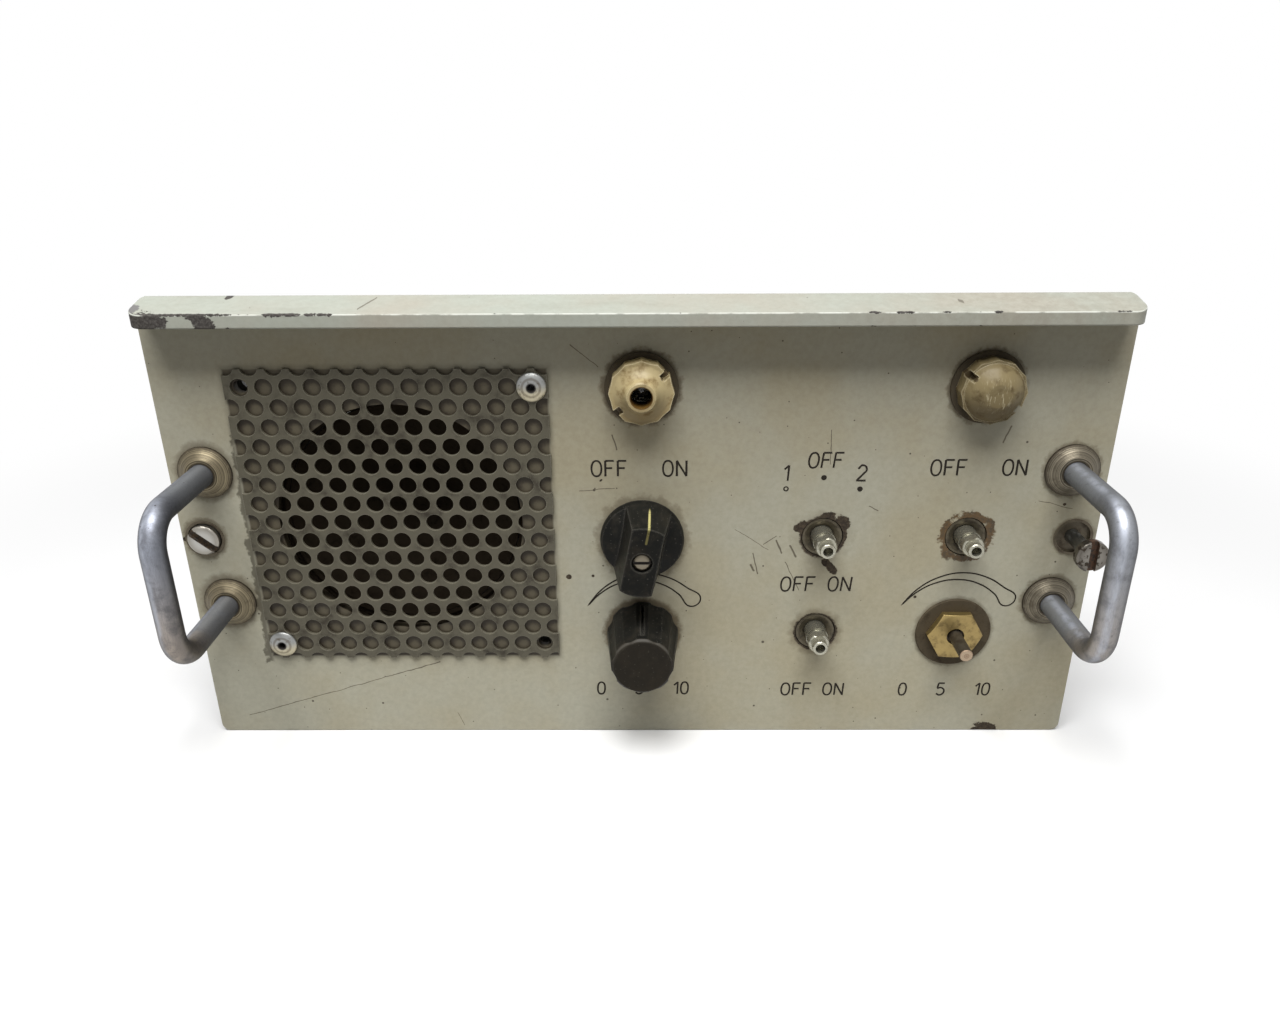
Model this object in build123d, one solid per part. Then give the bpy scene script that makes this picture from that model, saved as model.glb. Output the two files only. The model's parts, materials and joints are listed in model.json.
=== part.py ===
from build123d import *
import os
from math import atan, cos, degrees, radians, sin, sqrt, tan

# All sizes are millimetres. Depth y is measured from the panel's front face, into the cabinet.
# The finished part is shifted along y at the end, so that its origin is under the middle of its box.

# Fits
running_fit = 0.06
free_gap = 0.1
loose_gap = 0.4
seat_gap = 0.02

# Front panel and visor
panel_width = 320.0
panel_top = 165.6
panel_thickness = 3.4
panel_corner = 3.0
visor_thickness = 3.4
visor_reach = 12.0
visor_slope = 13.0
visor_bend = 5.0
visor_leg = 10.0
visor_inset = 2.3
visor_plan_corner = 5.5
visor_top_corner = 1.2
visor_edge = 0.6
visor_rim_drop = 1.1
visor_rim_depth = 2.8

# Places on the panel: insets from its edges, and shares of its height or of the width left for controls
handle_inset = 12.7
screw_inset = 8.0
bracket_inset = 20.0
grille_inset = 2.3
lamp_inset = 30.1
column_shares = (0.1834, 0.5606, 0.8605)
upper_row_share = 0.491
lower_row_share = 0.2615
speaker_share = 0.53
handle_share = 0.302

# Loudspeaker and its grille
grille_width_share = 1 / 3
grille_height_share = 0.66
aperture_share = 0.397
grille_thickness = 1.2
grille_pitch = 8.0
grille_hole = 6.0
fastener_head_radius = 5.0
fastener_head_height = 1.9
fastener_bore = 1.2
fastener_shank_radius = 2.0
speaker_hole_radius = 2.3
speaker_flange_margin = 1.7
speaker_flange_corner = 8.0
speaker_sheet = 1.4
speaker_gasket = 4.0
speaker_gasket_width = 7.0
basket_mouth_margin = 5.5
basket_back_radius = 26.0
basket_depth = 32.0
basket_window_count = 4
basket_window_width = 24.0
cone_margin = 1.9
cone_wall = 0.9
cone_cap_gap = 9.0
cone_cap_rise = 3.2
coil_radius = 9.4
coil_wall = 0.8
coil_length = 18.0
magnet_radius = 24.0
magnet_plate_radius = 22.0
magnet_plate = 4.0
magnet_ring = 12.0
surround_width = 4.4

# Handles
handle_reach = 42.5
handle_rod = 8.0
handle_bend = 11.0
handle_stud = 6.0
handle_nut = 10.0
handle_nut_height = 5.0
collar_radius = 9.3
collar_rim = 1.0
collar_height = 3.8
collar_neck_radius = 5.6

# Captive panel screws
screw_head_radius = 5.5
screw_head_height = 3.4
screw_proud = 2.4
screw_shank = 5.0
screw_length = 34.0
screw_slot_width = 2.6
screw_slot_depth = 1.5
screw_draw = 14.5
screw_left_turn = -50.0
screw_seat_gap = 0.1
bush_radius = 6.9
bush_proud = 0.3
bush_length = 8.0
ring_radius = 4.3
ring_thickness = 1.0
ring_groove = 0.5

# Indicator lamps
lamp_sleeve_radius = 8.0
lamp_sleeve_wall = 1.1
lamp_sleeve_front = 5.5
lamp_sleeve_rear = 22.0
lamp_gasket_radius = 12.2
lamp_gasket = 1.4
cap_radius = 10.7
cap_side_count = 12
cap_rim_height = 5.8
cap_shoulder_radius = 9.7
cap_dome_height = 5.0
cap_wall = 1.3
cap_nose_hole = 3.5
cap_slot_width = 2.4
cap_slot_depth = 3.4
cap_slot_reach = 2.5
cap_left_slot = 38.0
cap_right_slot = -34.0
cap_scallop = 0.45
cap_scallop_radius = 30.0
cap_nose_radius = 5.1
cap_nose_edge = 0.5
lamp_nut = 22.0
lamp_nut_height = 3.0
bulb_radius = 4.7
bulb_front = 4.0
bulb_glass = 12.0
bulb_base = 9.0

# Rotary switches
switch_hole_radius = 7.3
switch_bush_radius = 7.0
switch_bush_recess = 0.4
switch_bush_flange = 9.0
switch_bush_flange_height = 1.6
shaft_radius = 3.9
shaft_collar = 5.0
shaft_neck_radius = 3.75
shaft_neck = 4.0
shaft_flat = 3.2
shaft_groove = 0.5
shaft_tip_radius = 2.7
shaft_tip = 3.0
shaft_hole_radius = 1.75
shaft_hole = 6.0
switch_plate = 2.0
switch_plate_size = 30.0
switch_rod_radius = 1.5
switch_rod_spacing = 22.0
switch_depth = 26.0
wafer_radius = 14.0
wafer_thickness = 1.6
wafer_step = 9.0

# Power knob
knob_gap = 0.8
knob_skirt_radius = 14.6
knob_skirt = 4.0
knob_height = 20.6
knob_bar_width = 11.0
knob_bar_flare = 2.6
knob_bar_end_radius = 12.6
knob_turn = 11.0
knob_screw_head = 3.1
knob_screw_shank = 1.68
knob_screw_recess = 2.4
knob_screw_head_height = 2.0

# Volume knob and its potentiometer
volume_base_radius = 12.9
volume_face_radius = 10.8
volume_edge = 1.0
volume_height = 24.0
volume_flute_count = 8
volume_flute_radius = 7.0
volume_flute_depth = 0.7
volume_recess_radius = 9.0
volume_recess = 4.0
volume_notch = 1.0
pot_shaft_radius = 3.0
pot_bush_radius = 4.75
pot_bush_front = 2.6
pot_body_radius = 12.5
pot_body = 13.0
pot_nut = 14.0
pot_nut_height = 2.2

# Backlight potentiometer
disc_radius = 13.6
disc_thickness = 0.9
gland_nut = 17.4
gland_nut_height = 3.0
gland_hole_radius = 3.15
gland_bush_radius = 6.0
gland_bush_front = 2.6
gland_shaft_radius = 2.35
gland_shaft_reach = 17.0
gland_body_radius = 14.0
gland_body = 14.0

# Chassis
chassis_depth = 165.0
chassis_sheet = 1.5
vent_count = 6
vent_step = 12.0
vent_width = 4.0
bracket_sheet = 2.0
bracket_shoulder = 22.0
bracket_rear_height = 72.0
bracket_flange = 12.0
bracket_tab = 14.0
bracket_tab_height = 18.0
bracket_tab_above = 17.7
bracket_tab_below = 26.3
bracket_tab_margin = 10.0
bracket_screw_inset = 13.0
bracket_window = 30.0
rear_height = 96.0
rear_sheet = 2.0
stud_radius = 2.0
stud_length = 9.0
nut_m4 = 7.0
nut_m4_height = 3.2
screw_m4_radius = 2.0
screw_m4_head = 3.5
screw_m4_head_height = 2.4
screw_m4_length = 3.2

# Electrical parts on the chassis
mains_leg = 20.0
mains_stack = 32.0
mains_margin = 1.6
output_leg = 13.0
output_stack = 20.0
transformer_depth_share = 0.56
strap_sheet = 1.0
strap_foot = 8.0
strap_width_share = 0.8
coil_gap = 0.4
capacitor_radius = 14.0
capacitor_height = 52.0
capacitor_margin = 6.0
capacitor_step = 36.0
board_length = 64.0
board_width = 64.0
board_side_margin = 6.0
board_rear_margin = 12.0
board_thickness = 1.6
board_margin = 5.0
spacer_bore = 8.0
board_screw_length = 6.0
spacer_height = 18.0
spacer_radius = 3.0
board_screw_radius = 1.5
board_screw_head = 2.8
board_screw_head_height = 1.8
board_can_radius = 4.5
board_can_height = 20.0
board_transistor_radius = 4.0
board_transistor_height = 6.5
board_resistor_radius = 1.7
board_resistor_length = 9.0
sink_margin = 7.0
sink_z = 58.0
sink_width = 90.0
sink_height = 62.0
sink_base = 5.0
sink_fin = 18.0
sink_fin_thickness = 2.0
sink_fin_count = 9
power_can_radius = 10.0
power_can_height = 7.5
power_flange_length = 38.0
power_flange_width = 25.0
power_flange_height = 1.6
power_ear_radius = 4.5
power_spacing = 44.0
plug_z = 46.0
plug_length = 62.0
plug_height = 18.0
plug_inside = 9.0
plug_outside = 9.0
plug_flange = 5.0
plug_flange_thickness = 2.5
plug_pin_count = 10
plug_pin_radius = 0.9
plug_pin_length = 7.0
plug_pin_pitch = 5.5
plug_row_pitch = 7.0
guide_radius = 4.0
guide_length = 22.0
guide_tip = 6.0
guide_tip_radius = 1.6
guide_clearance = 2.0
guide_collar_radius = 5.0
guide_collar = 2.0
guide_shank_radius = 3.0
guide_margin = 10.0
loom_radius = 2.5
loom_bend = 14.0
loom_margin = 19.0
loom_inset = 20.0
clip_width = 8.0
clip_sheet = 1.0
clip_foot = 6.0

# Places that follow from the sizes above
back = panel_thickness
rear_face = back + chassis_depth
rear_inner = rear_face - rear_sheet
rear_extent = rear_face + sink_base + sink_fin
front_extent = handle_reach + handle_rod / 2
frame_shift = (front_extent - rear_extent) / 2
handle_x = panel_width / 2 - handle_inset
screw_x = panel_width / 2 - screw_inset
bracket_x = panel_width / 2 - bracket_inset
bracket_inner = bracket_x - bracket_sheet

grille_width = panel_width * grille_width_share
grille_height = panel_top * grille_height_share
speaker_x = grille_width / 2 + grille_inset + collar_radius - handle_x
speaker_z = panel_top * speaker_share
aperture_radius = min(grille_width, grille_height) * aperture_share
basket_mouth_radius = aperture_radius + basket_mouth_margin
cone_radius = aperture_radius - cone_margin
speaker_face = back + speaker_gasket
basket_rear = speaker_face + basket_depth
row_step = grille_pitch * sqrt(3) / 2
grille_rows_each_side = int(grille_height / 2 / row_step) + 1
fastener_row = grille_rows_each_side - 1
fastener_column = int(grille_width / 2 / grille_pitch) - (0.5 if fastener_row % 2 == 0 else 0)
fastener_dx = fastener_column * grille_pitch
fastener_dz = fastener_row * row_step

controls_start = speaker_x + grille_width / 2
controls_span = handle_x - collar_radius - controls_start
columns = [controls_start + share * controls_span for share in column_shares]
column_left, column_middle, column_right = columns
row_lamps = panel_top - lamp_inset
row_upper = panel_top * upper_row_share
row_lower = panel_top * lower_row_share
handle_spacing = panel_top * handle_share
handle_legs = [row_upper - handle_spacing / 2, row_upper + handle_spacing / 2]
bracket_tab_low = handle_legs[0] - bracket_tab_below
bracket_tab_high = handle_legs[1] + bracket_tab_above
bracket_front_height = bracket_tab_high + bracket_tab_margin
shaft_front = shaft_collar + shaft_neck + shaft_tip
switch_rear = back + switch_bush_flange_height + switch_depth

transformer_y = back + chassis_depth * transformer_depth_share
mains_reach = 1.5 * mains_leg + free_gap + strap_sheet + strap_foot
mains_x = bracket_inner - mains_margin - mains_reach
board_x = board_length / 2 + board_side_margin - bracket_inner
board_y = rear_inner - board_rear_margin - board_width / 2
output_x = (board_x + board_length / 2 + mains_x - mains_reach) / 2
capacitor_y = rear_inner - capacitor_radius - capacitor_margin
rear_screw_x = bracket_inner - bracket_flange / 2
sink_x = sink_width / 2 + sink_margin - rear_screw_x
guide_spacing = plug_length + 2 * (plug_flange + guide_collar_radius + guide_clearance)
plug_x = bracket_inner - bracket_flange - guide_margin - guide_spacing / 2
loom_start_y = board_y
loom_front_y = switch_rear + loom_margin
switch_places = {
    "power": (column_left, row_upper),
    "upper": (column_middle, row_upper),
    "lower": (column_middle, row_lower),
    "right": (column_right, row_upper),
}
shaft_turns = {"power": knob_turn, "upper": 65.0, "lower": 90.0, "right": 70.0}


def rod(x, z, radius, y0, y1):
    # a round bar square to the panel, from depth y0 to depth y1
    low = (Align.CENTER, Align.CENTER, Align.MIN)
    return Pos(x, y0, z) * Rot(-90, 0, 0) * Cylinder(radius, y1 - y0, align=low)


def post(x, y, radius, z0, z1):
    # a round bar standing upright
    low = (Align.CENTER, Align.CENTER, Align.MIN)
    return Pos(x, y, z0) * Cylinder(radius, z1 - z0, align=low)


def block(x0, x1, y0, y1, z0, z1):
    centre = Pos((x0 + x1) / 2, (y0 + y1) / 2, (z0 + z1) / 2)
    return centre * Box(x1 - x0, y1 - y0, z1 - z0)


def turned(points, x=0.0, z=0.0):
    # a body turned about a line square to the panel; each point is (radius, depth)
    return Pos(x, 0, z) * revolve(make_face(Polyline(*points, close=True)), Axis.Y)


def hexagon(x, z, across_flats, y0, y1):
    outline = RegularPolygon(across_flats / 2, 6, major_radius=False)
    return Pos(x, y0, z) * Rot(-90, 0, 0) * extrude(outline, y1 - y0)


def save(name, shape):
    export_step(Pos(0, frame_shift, 0) * shape, "parts/" + name + ".step")


def save_group(name, shapes):
    # pieces of one kind stay separate solids in one file
    save(name, Compound([solid for shape in shapes for solid in shape.solids()]))


# Front panel: a flat plate with every hole, and the weld studs for the brackets behind it

def visor_centre():
    # the centre of the visor's bend, over the back of the panel
    return back + visor_thickness - visor_bend, panel_top - visor_bend


def plate_top():
    # the plate ends just under the bend of the visor
    inner = visor_bend - visor_thickness
    return visor_centre()[1] + inner * cos(radians(visor_slope)) - visor_reach_drop(0.0)


def visor_reach_drop(y):
    # how far the visor's underside has come down where it passes depth y
    inner = visor_bend - visor_thickness
    tangent_y = visor_centre()[0] - inner * sin(radians(visor_slope))
    return max(0.0, tangent_y - y) * tan(radians(visor_slope))


def bracket_stud_places():
    tab_x = bracket_x + bracket_tab / 2
    return [(side * tab_x, z) for side in (-1, 1) for z in (bracket_tab_low, bracket_tab_high)]


def front_panel():
    height = plate_top() - free_gap
    face = Pos(0, height / 2) * Rectangle(panel_width, height)
    plate = extrude(Plane.XZ * face, -panel_thickness)
    top_edges = plate.edges().group_by(Axis.Z)[-1]
    plate = fillet(top_edges.sort_by(Axis.Y)[-1], visor_bend - visor_thickness - free_gap)
    plate = plate & extrude(Plane.XZ * fillet(face.vertices(), panel_corner), -panel_thickness)
    cuts = [rod(speaker_x, speaker_z, aperture_radius, -1, back + 1)]
    for dx in (-fastener_dx, fastener_dx):
        for dz in (-fastener_dz, fastener_dz):
            cuts.append(rod(speaker_x + dx, speaker_z + dz, speaker_hole_radius, -1, back + 1))
    for side in (-1, 1):
        cuts.append(rod(side * screw_x, row_upper, bush_body_radius() + free_gap, -1, back + 1))
        for z in handle_legs:
            cuts.append(rod(side * handle_x, z, handle_stud / 2 + free_gap, -1, back + 1))
    for x in (column_left, column_right):
        cuts.append(rod(x, row_lamps, lamp_sleeve_radius + free_gap, -1, back + 1))
    for x, z in switch_places.values():
        cuts.append(rod(x, z, switch_hole_radius, -1, back + 1))
    cuts.append(rod(column_left, row_lower, pot_bush_radius + free_gap, -1, back + 1))
    cuts.append(rod(column_right, row_lower, gland_bush_radius + free_gap, -1, back + 1))
    plate = plate - cuts
    studs = [rod(x, z, stud_radius, back, back + stud_length) for x, z in bracket_stud_places()]
    return plate + studs


def panel_visor():
    # a bent strip: an upright leg behind the plate, a bend over its top, a sloping brow and a deeper rim
    centre_y, centre_z = visor_centre()
    slope = radians(visor_slope)
    turn = 90 + visor_slope
    outer = CenterArc((centre_y, centre_z), visor_bend, 0, turn)
    inner = CenterArc((centre_y, centre_z), visor_bend - visor_thickness, 0, turn)
    lip_top = (outer @ 1).Y - ((outer @ 1).X + visor_reach) * tan(slope)
    lip_low = (inner @ 1).Y - ((inner @ 1).X + visor_reach) * tan(slope)
    rim_low = lip_low - visor_rim_drop
    rim_back = -visor_reach + visor_rim_depth
    brow_low = lip_low + visor_rim_depth * tan(slope)
    foot = panel_top - visor_bend - visor_leg
    outline = [
        Line((back, foot), (back + visor_thickness, foot)),
        Line((back + visor_thickness, foot), outer @ 0),
        outer,
        Line(outer @ 1, (-visor_reach, lip_top)),
        Line((-visor_reach, lip_top), (-visor_reach, rim_low)),
        Line((-visor_reach, rim_low), (rim_back, rim_low)),
        Line((rim_back, rim_low), (rim_back, brow_low)),
        Line((rim_back, brow_low), inner @ 1),
        inner,
        Line(inner @ 0, (back, foot)),
    ]
    width = panel_width - 2 * visor_inset
    strip = extrude(Plane.YZ * make_face(outline), width / 2, both=True)
    depth = visor_reach + back + visor_thickness
    plan = Pos(0, depth / 2 - visor_reach) * Rectangle(width, depth)
    plan = fillet(plan.vertices().group_by(Axis.Y)[0], visor_plan_corner)
    front = Pos(0, panel_top / 2) * Rectangle(width, panel_top)
    front = fillet(front.vertices().group_by(Axis.Y)[-1], visor_top_corner)
    strip = strip & extrude(plan, panel_top)
    strip = fillet(strip.edges().group_by(Axis.Y)[0], visor_edge)
    return strip & extrude(Plane.XZ * front, 2 * depth, both=True)


# Loudspeaker and grille

def grille_holes():
    # staggered rows: the middle row straddles the centre line, the next row has a hole on it
    half_width = grille_width / 2
    places = []
    for row in range(-grille_rows_each_side, grille_rows_each_side + 1):
        start = grille_pitch / 2 if row % 2 == 0 else 0.0
        count = int((half_width - start) // grille_pitch)
        for step in range(-count - (row % 2 == 0), count + 1):
            places.append((start + step * grille_pitch, row * row_step))
    return places


def speaker_grille():
    sheet = Rectangle(grille_width, grille_height)
    sheet = sheet - [Pos(x, z) * Circle(grille_hole / 2) for x, z in grille_holes()]
    return Pos(speaker_x, 0, speaker_z) * extrude(Plane.XZ * sheet, grille_thickness)


def grille_fasteners():
    # the two that remain: upper right and lower left, each a domed hollow head on a shank
    top = -grille_thickness
    crown = top - fastener_head_height
    shank_end = speaker_face + speaker_sheet + nut_m4_height
    profile = [
        (fastener_bore, shank_end),
        (fastener_shank_radius, shank_end),
        (fastener_shank_radius, top),
        (fastener_head_radius, top),
        (fastener_head_radius, top - fastener_head_height * 0.35),
        (fastener_head_radius * 0.72, top - fastener_head_height * 0.8),
        (fastener_head_radius * 0.4, crown),
        (fastener_bore, crown),
    ]
    places = [(fastener_dx, fastener_dz), (-fastener_dx, -fastener_dz)]
    return [turned(profile, speaker_x + dx, speaker_z + dz) for dx, dz in places]


def fastener_nuts():
    y0 = speaker_face + speaker_sheet
    places = [(fastener_dx, fastener_dz), (-fastener_dx, -fastener_dz)]
    nuts = []
    for dx, dz in places:
        x = speaker_x + dx
        z = speaker_z + dz
        nut = hexagon(x, z, nut_m4, y0, y0 + nut_m4_height)
        bore = rod(x, z, fastener_shank_radius + running_fit, y0 - 1, y0 + nut_m4_height + 1)
        nuts.append(nut - bore)
    return nuts


def surround_radii():
    inner = cone_radius + loose_gap
    return inner, inner + surround_width


def speaker_gasket_ring():
    inner = surround_radii()[1] + free_gap
    outer = inner + speaker_gasket_width
    return turned([(inner, back), (outer, back), (outer, speaker_face), (inner, speaker_face)],
                  speaker_x, speaker_z)


def speaker_basket():
    flange_hole = surround_radii()[1] - 1.4
    flange = Rectangle(grille_width + 2 * speaker_flange_margin, grille_height + 2 * speaker_flange_margin)
    flange = fillet(flange.vertices(), speaker_flange_corner)
    holes = [Pos(dx, dz) * Circle(speaker_hole_radius)
             for dx in (-fastener_dx, fastener_dx) for dz in (-fastener_dz, fastener_dz)]
    flange = flange - holes - Circle(flange_hole)
    flange = Pos(speaker_x, speaker_face, speaker_z) * extrude(Plane.XZ * flange, -speaker_sheet)
    front = speaker_face
    rear = basket_rear
    wall = speaker_sheet
    neck = coil_radius + coil_wall + 2.5
    bowl = turned([
        (basket_mouth_radius, front),
        (basket_back_radius, rear),
        (neck, rear),
        (neck, rear - wall),
        (basket_back_radius - wall, rear - wall),
        (basket_mouth_radius - wall * 2, front),
    ], speaker_x, speaker_z)
    windows = []
    for index in range(basket_window_count):
        opening = block(basket_back_radius * 0.85, basket_mouth_radius + wall,
                        front + speaker_sheet + 7, rear - 5,
                        -basket_window_width / 2, basket_window_width / 2)
        turn = Rot(0, 360 / basket_window_count * (index + 0.5), 0)
        windows.append(Pos(speaker_x, 0, speaker_z) * turn * opening)
    return flange + (bowl - windows)


def speaker_magnet():
    pole = coil_radius - 0.3
    slot = coil_radius + coil_wall + 0.3
    rear = basket_rear
    ring_front = rear + magnet_plate
    ring_rear = ring_front + magnet_ring
    return turned([
        (0, rear),
        (pole, rear),
        (pole, ring_rear),
        (slot, ring_rear),
        (slot, rear),
        (magnet_plate_radius, rear),
        (magnet_plate_radius, ring_front),
        (magnet_radius, ring_front),
        (magnet_radius, ring_rear),
        (magnet_plate_radius, ring_rear),
        (magnet_plate_radius, ring_rear + magnet_plate),
        (0, ring_rear + magnet_plate),
    ], speaker_x, speaker_z)


def speaker_cone():
    rim = speaker_face - cone_wall
    inner = coil_radius
    outer = coil_radius + coil_wall
    cap = basket_rear - cone_cap_gap
    joint = cap + cone_cap_rise
    return turned([
        (0, cap),
        (inner * 0.7, cap + 0.9),
        (outer, joint),
        (cone_radius, rim),
        (cone_radius, rim + cone_wall),
        (outer, joint + cone_wall * 1.3),
        (outer, joint + coil_length),
        (inner, joint + coil_length),
        (inner, joint + cone_wall),
        (inner * 0.66, cap + 0.9 + cone_wall),
        (0, cap + cone_wall),
    ], speaker_x, speaker_z)


def speaker_surround():
    inner, outer = surround_radii()
    crest = speaker_face - cone_wall * 1.6
    front = speaker_face - cone_wall
    middle = (inner + outer) / 2
    return turned([
        (inner, front),
        ((inner + middle) / 2, crest),
        (middle, front),
        (outer, front),
        (outer, speaker_face),
        (inner, speaker_face),
    ], speaker_x, speaker_z)


# Handles

def handle(side):
    x = side * handle_x
    low, high = handle_legs
    path = FilletPolyline((x, 0, high), (x, -handle_reach, high), (x, -handle_reach, low), (x, 0, low),
                          radius=handle_bend)
    section = Plane(origin=path @ 0, z_dir=path % 0) * Circle(handle_rod / 2)
    bar = sweep(section, path=path)
    end = back + handle_nut_height + 2.0
    return bar + [rod(x, z, handle_stud / 2, 0, end) for z in handle_legs]


def handle_collars():
    bore = handle_rod / 2 + free_gap
    profile = [
        (bore, 0),
        (collar_radius, 0),
        (collar_radius, -collar_rim),
        (collar_radius - 0.5, -collar_rim - 0.3),
        (collar_neck_radius, -collar_height),
        (bore, -collar_height),
    ]
    return [turned(profile, side * handle_x, z) for side in (-1, 1) for z in handle_legs]


def handle_nuts():
    nuts = []
    for side in (-1, 1):
        for z in handle_legs:
            nut = hexagon(side * handle_x, z, handle_nut, back, back + handle_nut_height)
            end = back + handle_nut_height + 1
            bore = rod(side * handle_x, z, handle_stud / 2 + running_fit, back - 1, end)
            nuts.append(nut - bore)
    return nuts


# Captive panel screws

def bush_body_radius():
    return bush_radius - 0.3


def screw_seat():
    # depth of the face that the screw's head comes home on
    return screw_head_height - screw_proud


def captive_bush(side):
    seat = screw_seat() + screw_seat_gap
    head_bore = screw_head_radius + loose_gap
    bore = screw_shank / 2 + running_fit
    return turned([
        (head_bore, -bush_proud),
        (bush_radius, -bush_proud),
        (bush_radius, 0),
        (bush_body_radius(), 0),
        (bush_body_radius(), back),
        (head_bore, back + 1),
        (head_bore, bush_length),
        (bore, bush_length),
        (bore, seat),
        (head_bore, seat),
    ], side * screw_x, row_upper)


def ring_front():
    # the ring's place on the screw when the screw is home
    return bush_length + screw_draw + 2 * screw_seat_gap


def captive_screw(side, drawn):
    seat = screw_seat()
    shank = screw_shank / 2
    groove = shank - ring_groove
    groove_front = ring_front() - free_gap
    groove_rear = ring_front() + ring_thickness + free_gap
    end = seat + screw_length
    body = turned([
        (0, -screw_proud),
        (screw_head_radius - 0.8, -screw_proud),
        (screw_head_radius, -screw_proud + 0.6),
        (screw_head_radius, seat),
        (shank, seat),
        (shank, groove_front),
        (groove, groove_front),
        (groove, groove_rear),
        (shank, groove_rear),
        (shank, end - 1),
        (shank - 0.8, end),
        (0, end),
    ])
    slot = block(-screw_slot_width / 2, screw_slot_width / 2, -screw_proud - 1,
                 -screw_proud + screw_slot_depth, -screw_head_radius - 1, screw_head_radius + 1)
    turn = screw_left_turn if side < 0 else 0
    return Pos(side * screw_x, -drawn, row_upper) * Rot(0, turn, 0) * (body - slot)


def retaining_ring(side, drawn):
    bore = screw_shank / 2 - ring_groove + running_fit
    y0 = ring_front()
    y1 = y0 + ring_thickness
    ring = turned([(bore, y0), (ring_radius, y0), (ring_radius, y1), (bore, y1)])
    return Pos(side * screw_x, -drawn, row_upper) * ring


# Indicator lamps

def cap_rim():
    rim = Circle(cap_radius)
    reach = cap_radius - cap_scallop + cap_scallop_radius
    for index in range(cap_side_count):
        angle = 360 / cap_side_count * (index + 0.5)
        rim = rim - Rot(0, 0, angle) * Pos(reach, 0) * Circle(cap_scallop_radius)
    return extrude(rim, cap_rim_height)


def cap_nose(shoulder, tip):
    # a hollow spout that flares from the shoulder, open at its end
    return turned([
        (0, shoulder + 0.1),
        (cap_shoulder_radius, shoulder + 0.1),
        (cap_shoulder_radius * 0.8, shoulder - cap_dome_height * 0.18),
        (cap_shoulder_radius * 0.62, shoulder - cap_dome_height * 0.48),
        (cap_nose_radius, shoulder - cap_dome_height * 0.8),
        (cap_nose_radius, tip + cap_nose_edge),
        (cap_nose_radius - cap_nose_edge, tip),
        (0, tip),
    ])


def lamp_cap(x, slot_angle, open_nose):
    # a thimble with a scalloped rim, two spanner slots and a domed nose, or an open spout
    foot = -lamp_gasket
    shoulder = foot - cap_rim_height
    tip = shoulder - cap_dome_height
    bore = lamp_sleeve_radius + free_gap
    rim = Pos(0, foot, 0) * Rot(90, 0, 0) * cap_rim()
    dome = cap_nose(shoulder, tip) if open_nose else turned([
        (0, shoulder + 0.1),
        (cap_shoulder_radius, shoulder + 0.1),
        (cap_shoulder_radius * 0.86, shoulder - cap_dome_height * 0.36),
        (cap_shoulder_radius * 0.6, shoulder - cap_dome_height * 0.76),
        (cap_shoulder_radius * 0.36, tip),
        (0, tip),
    ])
    hollow = turned([
        (0, foot + 1),
        (bore, foot + 1),
        (bore, shoulder + cap_wall),
        (0, shoulder + cap_wall),
    ]) if open_nose else turned([
        (0, foot + 1),
        (bore, foot + 1),
        (bore, shoulder + 0.2),
        (cap_shoulder_radius * 0.86 - cap_wall, shoulder - cap_dome_height * 0.36 + cap_wall),
        (cap_shoulder_radius * 0.6 - cap_wall, tip + cap_wall),
        (0, tip + cap_wall),
    ])
    cap = rim + dome - hollow
    for half_turn in (0, 180):
        notch = block(cap_radius - cap_slot_reach, cap_radius + 1, shoulder - 2.5, shoulder + cap_slot_depth,
                      -cap_slot_width / 2, cap_slot_width / 2)
        cap = cap - Rot(0, half_turn - slot_angle, 0) * notch
    if open_nose:
        cap = cap - rod(0, 0, cap_nose_hole, tip - 1, shoulder + cap_wall + 1)
    return Pos(x, 0, row_lamps) * cap


def lamp_gaskets():
    bore = lamp_sleeve_radius + free_gap
    profile = [(bore, -lamp_gasket), (lamp_gasket_radius, -lamp_gasket), (lamp_gasket_radius, 0), (bore, 0)]
    return [turned(profile, x, row_lamps) for x in (column_left, column_right)]


def lamp_holders():
    radius = lamp_sleeve_radius
    inner = radius - lamp_sleeve_wall
    socket = bulb_radius + free_gap
    shelf = bulb_glass - bulb_front
    floor = shelf + bulb_base
    profile = [
        (inner, -lamp_sleeve_front),
        (radius, -lamp_sleeve_front),
        (radius, lamp_sleeve_rear),
        (0, lamp_sleeve_rear),
        (0, floor + free_gap),
        (socket, floor + free_gap),
        (socket, shelf),
        (inner, shelf),
    ]
    return [turned(profile, x, row_lamps) for x in (column_left, column_right)]


def lamp_nuts():
    nuts = []
    for x in (column_left, column_right):
        nut = hexagon(x, row_lamps, lamp_nut, back, back + lamp_nut_height)
        nuts.append(nut - rod(x, row_lamps, lamp_sleeve_radius + running_fit, back - 1, back + 9))
    return nuts


def lamp_bulbs():
    front = -bulb_front
    shelf = bulb_glass - bulb_front
    profile = [
        (0, front),
        (bulb_radius * 0.5, front + 0.4),
        (bulb_radius * 0.95, front + 3),
        (bulb_radius * 0.95, shelf - 1),
        (bulb_radius, shelf),
        (bulb_radius, shelf + bulb_base - 2),
        (bulb_radius * 0.5, shelf + bulb_base),
        (0, shelf + bulb_base),
    ]
    return [turned(profile, x, row_lamps) for x in (column_left, column_right)]


# Rotary switches

def switch_bush_rear():
    return back + switch_bush_flange_height


def switch_bushes():
    bore = shaft_radius + running_fit
    front = switch_bush_recess
    profile = [
        (bore, front + 1.2),
        (switch_bush_radius - 0.8, front),
        (switch_bush_radius, front),
        (switch_bush_radius, back),
        (switch_bush_flange, back),
        (switch_bush_flange, switch_bush_rear()),
        (bore, switch_bush_rear()),
    ]
    return [turned(profile, x, z) for x, z in switch_places.values()]


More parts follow.
